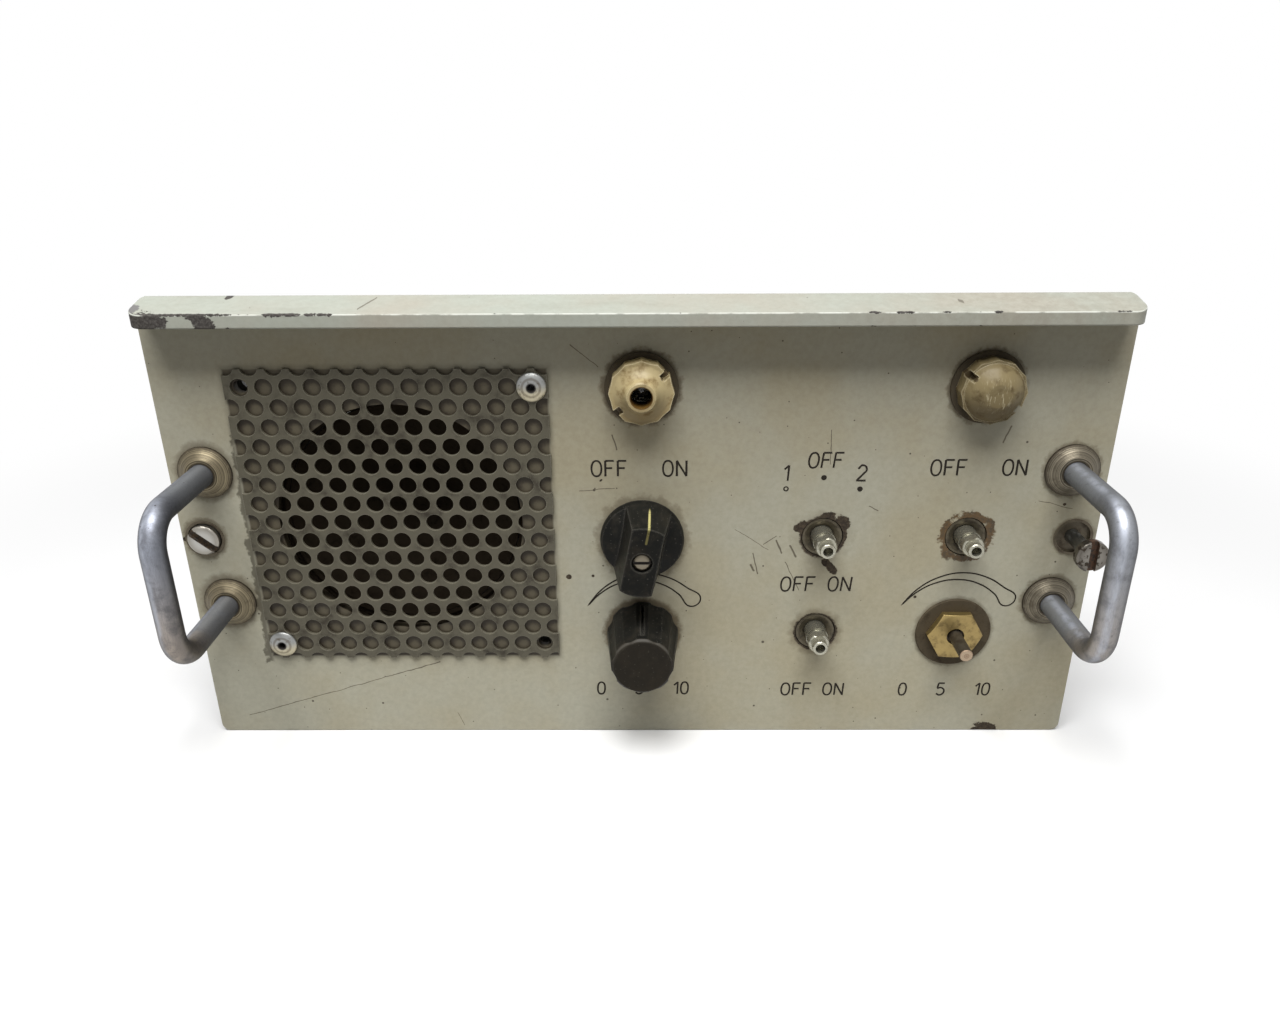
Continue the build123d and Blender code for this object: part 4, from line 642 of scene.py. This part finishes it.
def makeCapFinish(node):
    look, centre = capLook[node], middle(node)
    material, shader, place = newFinish(look["name"], 0.44, 0.0, look["gloss"])
    part, reach = axes(place), radiusFrom(place, centre)
    stain = patches(place, *capLook["stain"])
    hang = times(fade(part[2], centre[1] + 2.0, centre[1] - 8.0), 0.55)  # soil gathers low on the cap
    colour = blend(calc("MAXIMUM", stain, hang), look["tone"], look["worn"])
    scuffs = patches(stretch(place, 1.6, 0.5, 0.35), *capLook["scuffs"])
    scuffs = times(times(scuffs, fade(reach, 8.5, 3.0)), look["scratched"])
    colour = blend(scuffs, colour, look["pale"])
    colour = coat(colour, wear(edgeRub, place, 0.7, 0.8), 0.8, look["pale"])
    turn, broken = math.radians(look["slot"]), ripple(place, 0.8)
    across, rise = capLook["slotReach"] * math.cos(turn), capLook["slotReach"] * math.sin(turn)
    slots = most([wear(chipSpot, place, broken, centre[0] + end * across, centre[1] + end * rise,
                       *capLook["slotHalf"], turn, 0.3) for end in (-1, 1)])
    # painted shade in the two notches
    colour = coat(colour, slots, 0.75, capLook["slotTone"])
    if look["bore"]:
        front = corners(node)[0].y
        # amber inside the bore, darkening to painted shade deeper in
        amber = blend(fade(part[1], front + 2.0, front + 9.0), capLook["amber"], capLook["dark"])
        colour = blend(fade(reach, look["bore"] + 0.25, look["bore"] - 0.1), colour, amber)
    paint(shader, colour, plus(0.38, times(stain, 0.2)))
    emboss(shader, plus(grain(place, 1.2, 4, 0.6), scuffs), 0.12, 0.0002)
    return material


# knobs: black moulding rubbed grey at the edges
knobLook = {
    "black": tint(24, 24, 22), "dust": tint(58, 54, 47), "rubbed": tint(104, 101, 94), "brown": tint(52, 46, 37),
    "line": tint(180, 172, 114), "lineDim": tint(108, 101, 64), "lineWidth": 0.54, "lineTurn": 11.0,
    "lineInner": 7.4, "lineOuter": 13.5, "lineBright": 12.2, "faceRim": (9.9, 10.3, 10.5, 10.9),
    "dustNoise": (0.46, 0.78, 0.28, 6, 0.65), "soilNoise": (0.5, 0.7, 0.1, 4), "lineNoise": (0.3, 0.45, 1.2, 4),
    "specks": (1.6, 0.22, 0.4), "edges": (1.2, 2.2),
}


# the fluted knob's face: browner, with a painted highlight along the top of its rim
def flutedFace(look, place, colour):
    part, away = axes(place), radiusFrom(place, volume)
    faceY = corners("volume_knob")[0].y
    front = fade(part[1], faceY + 1.4, faceY + 1.0)
    colour = coat(colour, front, 0.45, look["brown"])
    inner, innerFull, outerFull, outer = look["faceRim"]
    # painted highlight on the upper part of the face's rim
    arc = times(fade(away, inner, innerFull), fade(away, outer, outerFull))
    arc = times(times(arc, front), fade(part[2], volume[1] - 1.0, volume[1] + 7.0))
    return coat(colour, arc, 0.4, look["rubbed"])


# the power knob's filled pointer line, brightest at its outer end
def pointerLine(look, place, colour):
    turn = math.radians(look["lineTurn"])
    ends = [(power[0] + math.sin(turn) * reach, power[1] + math.cos(turn) * reach)
            for reach in (look["lineInner"], look["lineOuter"])]
    mark = wear(scratchLine, place, 1.0, *ends[0], *ends[1], look["lineWidth"])
    bright = fade(radiusFrom(place, power), look["lineBright"] - 0.4, look["lineBright"] + 0.4)
    tone = blend(bright, look["lineDim"], look["line"])
    return blend(times(mark, patches(place, *look["lineNoise"])), colour, tone)


def makeKnobFinish(name, look, addMarks):
    material, shader, place = newFinish(name, 0.42, 0.0, 0.07)
    dusty = patches(place, *look["dustNoise"])
    colour = coat(look["black"], dusty, 0.5, look["dust"])
    colour = coat(colour, wear(speckle, place, *look["specks"]), 0.35, look["rubbed"])
    colour = coat(colour, patches(place, *look["soilNoise"]), 0.3, look["brown"])
    colour = coat(colour, wear(edgeRub, place, *look["edges"]), 0.42, look["rubbed"])
    paint(shader, addMarks(look, place, colour), plus(0.36, times(dusty, 0.25)))
    emboss(shader, grain(place, 2.2, 3, 0.6), 0.08, 0.0002)
    return material


# the pot shaft is dark with a pale copper end
shaftLook = {
    "body": tint(72, 66, 56), "dark": tint(52, 44, 34), "stain": (0.4, 0.7, 0.5, 5),
    "copper": tint(178, 158, 134), "swirl": tint(140, 117, 95), "pitch": 0.5,
}


def makePotShaftFinish(look):
    material, shader, place = newFinish("potShaftBrown", 0.5, 0.55)
    front = corners("backlight_pot_shaft")[0].y
    end = fade(axes(place)[1], front + 0.5, front + 0.25)
    swirl = wear(turnedMarks, place, radiusFrom(place, backlight), look["pitch"])
    body = blend(patches(place, *look["stain"]), look["body"], look["dark"])
    colour = blend(end, body, blend(swirl, look["copper"], look["swirl"]))
    paint(shader, colour, plus(0.4, times(swirl, 0.15)))
    emboss(shader, swirl, 0.1, 0.0001)
    return material


# grille fasteners: nickel heads, warmer below, with painted shade in the open middle
fastenerLook = {
    "high": tint(146, 147, 145), "low": tint(178, 170, 146), "dull": tint(84, 74, 60), "middle": tint(30, 26, 22),
    "head": 5.0, "hole": 1.65, "groove": 3.0, "rough": 0.36, "stain": (0.5, 0.72, 0.5, 6, 0.62),
}


def makeFastenerFinish(look):
    material, shader, place = newFinish("fastenerNickel", look["rough"], 0.8)
    low, high = corners("grille_fasteners")
    head, part = look["head"], axes(place)
    lowSpot, highSpot = (low.x + head, low.z + head), (high.x - head, high.z - head)
    reach = calc("MINIMUM", radiusFrom(place, lowSpot), radiusFrom(place, highSpot))
    which = calc("GREATER_THAN", part[2], (low.z + high.z) / 2)
    rise = minus(part[2], plus(lowSpot[1], times(which, highSpot[1] - lowSpot[1])))
    colour = blend(fade(rise, -2.5, 1.5), look["low"], look["high"])
    stain = patches(place, *look["stain"])
    colour = coat(colour, stain, 0.7, look["dull"])
    groove = fade(calc("ABSOLUTE", minus(reach, look["groove"])), 0.55, 0.2)
    colour = coat(colour, groove, 0.5, look["dull"])
    # painted shade filling the open middle
    hole = fade(reach, look["hole"] + 0.25, look["hole"] - 0.25)
    gloss = plus(look["rough"], times(most([hole, stain]), 0.3))
    paint(shader, blend(hole, colour, look["middle"]), gloss, minus(0.8, times(hole, 0.7)))
    return material


# lamp bulbs: clear glass with a thin film
glassLook = {"clear": tint(240, 238, 228), "film": tint(206, 196, 170), "filmNoise": (0.4, 0.8, 0.4, 4)}


def makeGlass(look):
    material, shader, place = newFinish("bulbGlass", 0.08)
    shader.inputs["Transmission Weight"].default_value = 1.0
    film = patches(place, *look["filmNoise"])
    paint(shader, blend(film, look["clear"], look["film"]), plus(0.05, times(film, 0.15)))
    return material


# values of the plain finishes, in the order their functions take them
metals = {
    "screw_steel": (tint(176, 172, 164), tint(100, 84, 64), 0.34, 0.3, 0.4, 0.9),
    "gland_brass": (tint(162, 141, 91), tint(98, 82, 52), 0.42, 0.5, 0.3, 0.8, (1, 1, 1), 0.5),
    "bush_brass": (tint(92, 85, 69), tint(52, 46, 38), 0.5, 0.6, 0.35, 0.6, (1, 1, 1), 0.4),
    "shaft_steel": (tint(168, 166, 152), tint(112, 106, 91), 0.32, 0.35, 0.5, 0.8, (1, 1, 1), 0.5),
    "zinc_steel": (tint(176, 176, 168), tint(130, 124, 108), 0.42, 0.35),
    "chassis_alloy": (tint(176, 176, 172), tint(148, 145, 137), 0.48, 0.4, 0.05, 1.0, (0.1, 2, 2)),
    "sink_black": (tint(44, 44, 45), tint(74, 70, 64), 0.5, 0.3, 0.1, 0.5, (2, 2, 0.1)),
    "core_iron": (tint(70, 66, 62), tint(100, 74, 52), 0.55, 0.5, 0.15, 0.6, (0.05, 4, 0.05)),
    "can_alloy": (tint(184, 184, 182), tint(140, 138, 132), 0.36, 0.35, 0.1, 1.0, (3, 3, 0.1)),
}
moulded = {
    "grille_paint": (tint(94, 90, 76), tint(44, 38, 29), 0.55, 0.58, 0.13, 0.4, (1, 1, 1), 0.9, 0.3, 0.5,
                     tint(138, 135, 119)),
    "black_rubber": (tint(72, 65, 53), tint(102, 92, 72), 0.8, 0.5, 0.3, 0.2, (1, 1, 1), 2.0, 0.15),
    "coil_wrap": (tint(176, 148, 92), tint(120, 92, 52), 0.6, 0.4, 0.12, 0.3, (0.3, 0.3, 3)),
    "board_laminate": (tint(150, 124, 70), tint(112, 88, 46), 0.5, 0.4, 0.08),
    "part_resin": (tint(92, 78, 62), tint(58, 48, 40), 0.45, 0.5, 0.15),
    "cone_paper": (tint(50, 42, 32), tint(30, 25, 19), 0.9, 0.5, 0.25, 0.4, (1, 1, 1), 1.2, 0.1),
    "basket_paint": (tint(86, 86, 82), tint(58, 54, 48), 0.5, 0.4),
    "wafer_laminate": (tint(140, 96, 56), tint(96, 62, 36), 0.55, 0.4),
    "loom_jacket": (tint(46, 46, 48), tint(74, 70, 64), 0.55, 0.4, 0.2, 0.3, (0.3, 2, 2)),
}


def camel(name):
    first, *words = name.split("_")
    return first + "".join(word.title() for word in words)


finishes = {
    **{slot: makeMetal(camel(slot), *values) for slot, values in metals.items()},
    **{slot: makeMoulded(camel(slot), *values) for slot, values in moulded.items()},
    "panel_enamel": makePanelFinish(panelLook), "handle_steel": makeHandleFinish(handleLook),
    "collar_steel": makeCollarFinish(collarLook), "lamp_ivory": makeCapFinish("lamp_cap_left"),
    "black_bakelite": makeKnobFinish("blackBakelite", knobLook, flutedFace), "bulb_glass": makeGlass(glassLook),
}
ownFinish = {
    "panel_visor": makeVisorFinish(visorLook), "lamp_cap_right": makeCapFinish("lamp_cap_right"),
    "power_knob": makeKnobFinish("powerKnobBlack", knobLook, pointerLine),
    "backlight_pot_shaft": makePotShaftFinish(shaftLook), "grille_fasteners": makeFastenerFinish(fastenerLook),
    "captive_bushes": makeMetal("rustyBush", tint(96, 88, 72), tint(54, 43, 31), 0.55, 0.5, 0.3, 0.5, rub=0.5),
    "backlight_disc": makeMoulded("discBrown", tint(80, 71, 56), tint(50, 42, 31), 0.7, 0.5, 0.2, 0.2,
                                  fine=1.6, specular=0.15),
    **{node: makeScrewFinish(node) for node in ("captive_screw_left", "captive_screw_right", "power_knob_screw")},
}
print("finishes made:", len(finishes) + len(ownFinish))


# CAD nodes get their finish, and those in plain sight a copy with softened edges
def finishOf(node):
    return ownFinish.get(node, finishes[slotOf[node]])


def choose(piece):
    if bpy.context.mode != "OBJECT":
        bpy.ops.object.mode_set(mode="OBJECT")
    bpy.ops.object.select_all(action="DESELECT")
    piece.select_set(True)
    bpy.context.view_layer.objects.active = piece


# merge distance in metres, angles in degrees
skinLook = {"merge": 0.000002, "flat": 0.4, "segments": 2, "bevelFrom": 30.0, "smoothTo": 28.0}


def dress(node, edge):
    piece = bpy.data.objects.new(camel(node) + "Skin", nodes[node].data.copy())
    scene.collection.objects.link(piece)
    choose(piece)
    bpy.ops.mesh.customdata_custom_splitnormals_clear()
    bpy.ops.object.mode_set(mode="EDIT")
    bpy.ops.mesh.select_all(action="SELECT")
    bpy.ops.mesh.remove_doubles(threshold=skinLook["merge"])
    bpy.ops.mesh.dissolve_limited(angle_limit=math.radians(skinLook["flat"]))
    bpy.ops.object.mode_set(mode="OBJECT")
    soft = piece.modifiers.new("softEdge", "BEVEL")
    soft.width = edge / 1000
    soft.segments = skinLook["segments"]
    soft.limit_method = "ANGLE"
    soft.angle_limit = math.radians(skinLook["bevelFrom"])
    bpy.ops.object.modifier_apply(modifier=soft.name)
    bpy.ops.object.shade_smooth_by_angle(angle=math.radians(skinLook["smoothTo"]))
    level = piece.modifiers.new("flatFaces", "WEIGHTED_NORMAL")
    level.keep_sharp = True
    bpy.ops.object.modifier_apply(modifier=level.name)
    piece.data.materials.clear()
    piece.data.materials.append(finishOf(node))
    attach(piece, bodyOf[node])
    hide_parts(node)


for node, piece in nodes.items():
    piece.data.materials.clear()
    piece.data.materials.append(finishOf(node))

# width of the softened edges in millimetres
softEdges = {
    "front_panel": 0.35, "panel_visor": 0.25, "speaker_grille": 0.14, "grille_fasteners": 0.3,
    "handle_left": 0.15, "handle_right": 0.15, "handle_collars": 0.2, "captive_bushes": 0.25,
    "captive_screw_left": 0.3, "captive_screw_right": 0.3, "lamp_cap_left": 0.35, "lamp_cap_right": 0.35,
    "lamp_gaskets": 0.3, "switch_bushes": 0.2, "switch_shaft_power": 0.2, "switch_shaft_upper": 0.25,
    "switch_shaft_lower": 0.25, "switch_shaft_right": 0.25, "power_knob": 0.6, "power_knob_screw": 0.2,
    "volume_knob": 0.6, "backlight_disc": 0.15, "backlight_nut": 0.3, "backlight_pot_shaft": 0.2,
    "heat_sink": 0.3, "transformer_cores": 0.3, "transformer_coils": 0.8, "transformer_straps": 0.2,
    "filter_capacitors": 0.8, "rear_connector": 0.4, "guide_pins": 0.25, "chassis_screws": 0.2,
    "output_transistors": 0.4, "board_components": 0.3, "rear_plate": 0.25, "side_bracket_left": 0.25,
    "side_bracket_right": 0.25, "speaker_magnet": 0.6, "pot_bodies": 0.4, "panel_nuts": 0.25, "m4_nuts": 0.2,
}
for node, edge in softEdges.items():
    dress(node, edge)
print("skins made:", len(softEdges))


# engraved marks on the panel: dial outlines, position dots and plain figures
markLook = {
    "ink": tint(36, 31, 25), "worn": tint(76, 67, 53), "thin": (0.68, 0.95, 0.9, 5, 0.7),
    "dialLine": 0.31, "figureLine": 0.38, "flat": 0.2,
    "dots": [(50.9, 99.6), (63.6, 103.7), (76.2, 99.5)], "dotRadius": 0.95, "dotHigh": 0.12,
    "dotEdge": 0.03, "openDot": (0.72, 0.26),
    # offsets of the outline from the dial's centre, in millimetres
    "dialOuter": [(-19.8, 10.9), (-14.5, 17.6), (-7.0, 22.4), (1.2, 24.0), (9.5, 22.2), (16.0, 18.2),
                  (20.9, 13.8)],
    "dialInner": [(17.6, 10.6), (13.0, 15.6), (7.0, 19.6), (-0.65, 21.3), (-8.5, 19.9), (-14.8, 16.2)],
    # words, x, z, letter height, slant
    "figures": [("1", 50.7, 105.4, 5.6, 0.05), ("2", 76.4, 105.4, 5.6, 0.05), ("OFF", 63.9, 110.0, 5.4, 0.1),
                ("OFF   ON", 0.6, 107.2, 5.6, 0.0), ("OFF   ON", 115.8, 107.2, 5.6, 0.0),
                ("OFF ON", 63.6, 62.9, 5.6, 0.08), ("OFF ON", 65.1, 18.5, 5.2, 0.04),
                ("0   5   10", 1.6, 19.0, 5.2, 0.04), ("0   5   10", 114.6, 18.4, 5.2, 0.04)],
    "gap": 0.24, "space": 0.42,
    # strokes of each figure on a box one unit high: straight runs, curves and closed loops
    "strokes": {
        "O": [("loop", [(0.3, 1.0), (0.6, 0.5), (0.3, 0.0), (0.0, 0.5)])],
        "0": [("loop", [(0.26, 1.0), (0.52, 0.5), (0.26, 0.0), (0.0, 0.5)])],
        "F": [("run", [(0.0, 0.0), (0.0, 1.0)]), ("run", [(0.0, 1.0), (0.52, 1.0)]),
              ("run", [(0.0, 0.53), (0.42, 0.53)])],
        "N": [("run", [(0.0, 0.0), (0.0, 1.0)]), ("run", [(0.0, 1.0), (0.58, 0.0)]),
              ("run", [(0.58, 0.0), (0.58, 1.0)])],
        "1": [("run", [(0.0, 0.74), (0.26, 1.0)]), ("run", [(0.26, 1.0), (0.26, 0.0)])],
        "2": [("curve", [(0.02, 0.76), (0.28, 1.0), (0.54, 0.74), (0.34, 0.4), (0.0, 0.0)]),
              ("run", [(0.0, 0.0), (0.56, 0.0)])],
        "5": [("run", [(0.5, 1.0), (0.08, 1.0)]), ("run", [(0.08, 1.0), (0.03, 0.56)]),
              ("curve", [(0.03, 0.56), (0.3, 0.62), (0.54, 0.32), (0.28, 0.0), (0.0, 0.12)])],
    },
}


def makeInk():
    material, shader, place = newFinish("markInk", 0.7, 0.0, 0.2)
    paint(shader, blend(patches(place, *markLook["thin"]), markLook["ink"], markLook["worn"]))
    return material


inkFinish = makeInk()
faceY = corners("front_panel")[0].y / 1000


def onPanel(x, z):
    return (x / 1000, faceY, z / 1000)


def settle(piece):
    choose(piece)
    bpy.ops.object.transform_apply(location=True, rotation=True, scale=True)
    piece.data.materials.clear()
    piece.data.materials.append(inkFinish)
    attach(piece, "chassis")


def startLine(name, width):
    bpy.ops.object.select_all(action="DESELECT")
    bpy.ops.curve.primitive_bezier_curve_add(location=(0, 0, 0))
    line = bpy.context.object
    line.name = name
    line.data.splines.clear()
    line.data.bevel_depth = width / 1000
    line.data.bevel_resolution = 1
    line.data.resolution_u = 8
    line.data.use_fill_caps = True
    return line


def addStroke(line, kind, points):
    spline = line.data.splines.new("BEZIER")
    spline.bezier_points.add(len(points) - 1)
    spline.use_cyclic_u = kind == "loop"
    for point, (x, z) in zip(spline.bezier_points, points):
        point.co = onPanel(x, z)
        point.handle_left_type = point.handle_right_type = "VECTOR" if kind == "run" else "AUTO"
    return spline


# a drawn line becomes a low ridge on the panel's face
def flatten(line):
    choose(line)
    bpy.ops.object.convert(target="MESH")
    line = bpy.context.object
    bpy.ops.object.mode_set(mode="EDIT")
    bpy.ops.mesh.select_all(action="SELECT")
    bpy.ops.transform.resize(value=(1, markLook["flat"], 1), center_override=onPanel(0, 0))
    bpy.ops.mesh.normals_make_consistent(inside=False)
    bpy.ops.object.mode_set(mode="OBJECT")
    settle(line)


def drawDial(name, centre):
    line = startLine(name, markLook["dialLine"])
    points = [(centre[0] + x, centre[1] + z) for x, z in markLook["dialOuter"] + markLook["dialInner"]]
    tip = addStroke(line, "loop", points).bezier_points[0]
    tip.handle_left_type = tip.handle_right_type = "VECTOR"
    flatten(line)


def widthOf(letter):
    if letter == " ":
        return markLook["space"]
    return max(x for kind, points in markLook["strokes"][letter] for x, z in points)


def writeFigure(name, words, x, z, height, slant):
    line = startLine(name, markLook["figureLine"])
    wide = sum(widthOf(letter) for letter in words) + markLook["gap"] * (len(words) - 1)
    start = -wide / 2
    for letter in words:
        for kind, points in markLook["strokes"].get(letter, []):
            shape = [(start + along + slant * (rise - 0.5), rise - 0.5) for along, rise in points]
            addStroke(line, kind, [(x + across * height, z + up * height) for across, up in shape])
        start += widthOf(letter) + markLook["gap"]
    flatten(line)


def dotMark(name, x, z):
    bpy.ops.object.select_all(action="DESELECT")
    bpy.ops.mesh.primitive_cylinder_add(vertices=20, radius=markLook["dotRadius"] / 1000,
                                        depth=markLook["dotHigh"] / 1000, location=onPanel(x, z),
                                        rotation=(math.radians(90), 0, 0))
    dot = bpy.context.object
    dot.name = name
    bpy.ops.object.mode_set(mode="EDIT")
    bpy.ops.mesh.select_all(action="SELECT")
    bpy.ops.mesh.bevel(offset=markLook["dotEdge"] / 1000, segments=1)
    bpy.ops.object.mode_set(mode="OBJECT")
    settle(dot)


def openDotMark(name, x, z):
    ring, tube = markLook["openDot"]
    bpy.ops.object.select_all(action="DESELECT")
    bpy.ops.mesh.primitive_torus_add(major_radius=ring / 1000, minor_radius=tube / 1000, major_segments=24,
                                     minor_segments=8, location=onPanel(x, z), rotation=(math.radians(90), 0, 0))
    dot = bpy.context.object
    dot.name = name
    dot.scale = (1, 1, markLook["flat"])
    settle(dot)


for index, centre in enumerate((backlight, volume)):
    drawDial("dialOutline" + str(index), centre)
for index, values in enumerate(markLook["figures"]):
    writeFigure("panelFigure" + str(index), *values)
openDotMark("positionDot0", *markLook["dots"][0])
for index, spot in enumerate(markLook["dots"][1:], 1):
    dotMark("positionDot" + str(index), *spot)
print("panel marks made")


# floor, light and camera
studio = {
    "sky": 0.1, "floorSeen": (0.9, 0.9, 0.9, 1), "floorLit": (0.38, 0.37, 0.356, 1), "floorNear": 0.2,
    "floorFar": 0.5, "floorSize": 40, "floorDrop": 0.0002, "photoWidth": 1280, "sensor": 36.0,
    "keyPlace": (-0.05, -0.475, 1.113), "keyAim": (0.0, -0.07, 0.09), "keySize": (0.9, 0.53), "keyPower": 20.2,
    "cameraPlace": (0.00348, -0.37829, 0.22351), "yaw": -0.488, "pitch": 23.41, "roll": -0.328, "focal": 962.4,
}


def seenDirectly(tree):
    path = tree.nodes.new("ShaderNodeLightPath")
    return most([path.outputs[name] for name in ("Is Camera Ray", "Is Glossy Ray", "Is Transmission Ray")])


def makeWorld():
    world = bpy.data.worlds.new("studioWorld")
    scene.world = world
    world.use_nodes = True
    backdrop = world.node_tree.nodes["Background"]
    backdrop.inputs["Color"].default_value = (1, 1, 1, 1)
    level = plus(studio["sky"], times(seenDirectly(world.node_tree), 1.0 - studio["sky"]))
    feed(level, backdrop.inputs["Strength"])


# the floor keeps the shadow near the object and fades to plain white further off
def makeFloor():
    bpy.ops.object.select_all(action="DESELECT")
    bpy.ops.mesh.primitive_plane_add(size=studio["floorSize"], location=(0, 0, -studio["floorDrop"]))
    floor = bpy.context.object
    floor.name = "studioFloor"
    material = bpy.data.materials.new("paleFloor")
    material.use_nodes = True
    tree = material.node_tree
    shader = tree.nodes["Principled BSDF"]
    shader.inputs["Roughness"].default_value = 0.9
    shader.inputs["Specular IOR Level"].default_value = 0.0
    shader.inputs["Emission Strength"].default_value = 1.0
    place = tree.nodes.new("ShaderNodeTexCoord").outputs["Object"]
    away = fade(vec("LENGTH", place), studio["floorNear"], studio["floorFar"])
    seen = seenDirectly(tree)
    colour = blend(seen, studio["floorLit"], studio["floorSeen"])
    white = times(seen, away)
    feed(blend(white, colour, (0, 0, 0, 1)), shader.inputs["Base Color"])
    feed(blend(white, (0, 0, 0, 1), (1, 1, 1, 1)), shader.inputs["Emission Color"])
    floor.data.materials.append(material)


def makeKey():
    bpy.ops.object.light_add(type="AREA", location=studio["keyPlace"])
    key = bpy.context.object
    key.name = "overheadKey"
    key.data.shape = "RECTANGLE"
    key.data.size, key.data.size_y = studio["keySize"]
    key.data.energy = studio["keyPower"]
    key.rotation_euler = (Vector(studio["keyAim"]) - key.location).to_track_quat("-Z", "Y").to_euler()


def makeCamera():
    camera = bpy.data.cameras.new("photoCamera")
    camera.sensor_width = studio["sensor"]
    camera.lens = studio["focal"] / studio["photoWidth"] * studio["sensor"]
    camera.clip_start = 0.01
    view = bpy.data.objects.new("photoCamera", camera)
    scene.collection.objects.link(view)
    yaw, pitch, roll = (math.radians(studio[name]) for name in ("yaw", "pitch", "roll"))
    ahead = Vector((math.sin(yaw) * math.cos(pitch), math.cos(yaw) * math.cos(pitch), -math.sin(pitch)))
    across = Vector((math.cos(yaw), -math.sin(yaw), 0))
    up = across.cross(ahead)
    side = math.cos(roll) * across + math.sin(roll) * up
    rise = math.cos(roll) * up - math.sin(roll) * across
    turn = Matrix((side, rise, -ahead)).transposed()
    view.matrix_world = Matrix.Translation(studio["cameraPlace"]) @ turn.to_4x4()
    scene.camera = view


scene.view_settings.view_transform = "Standard"
makeWorld()
makeFloor()
makeKey()
makeCamera()
print("studio set")
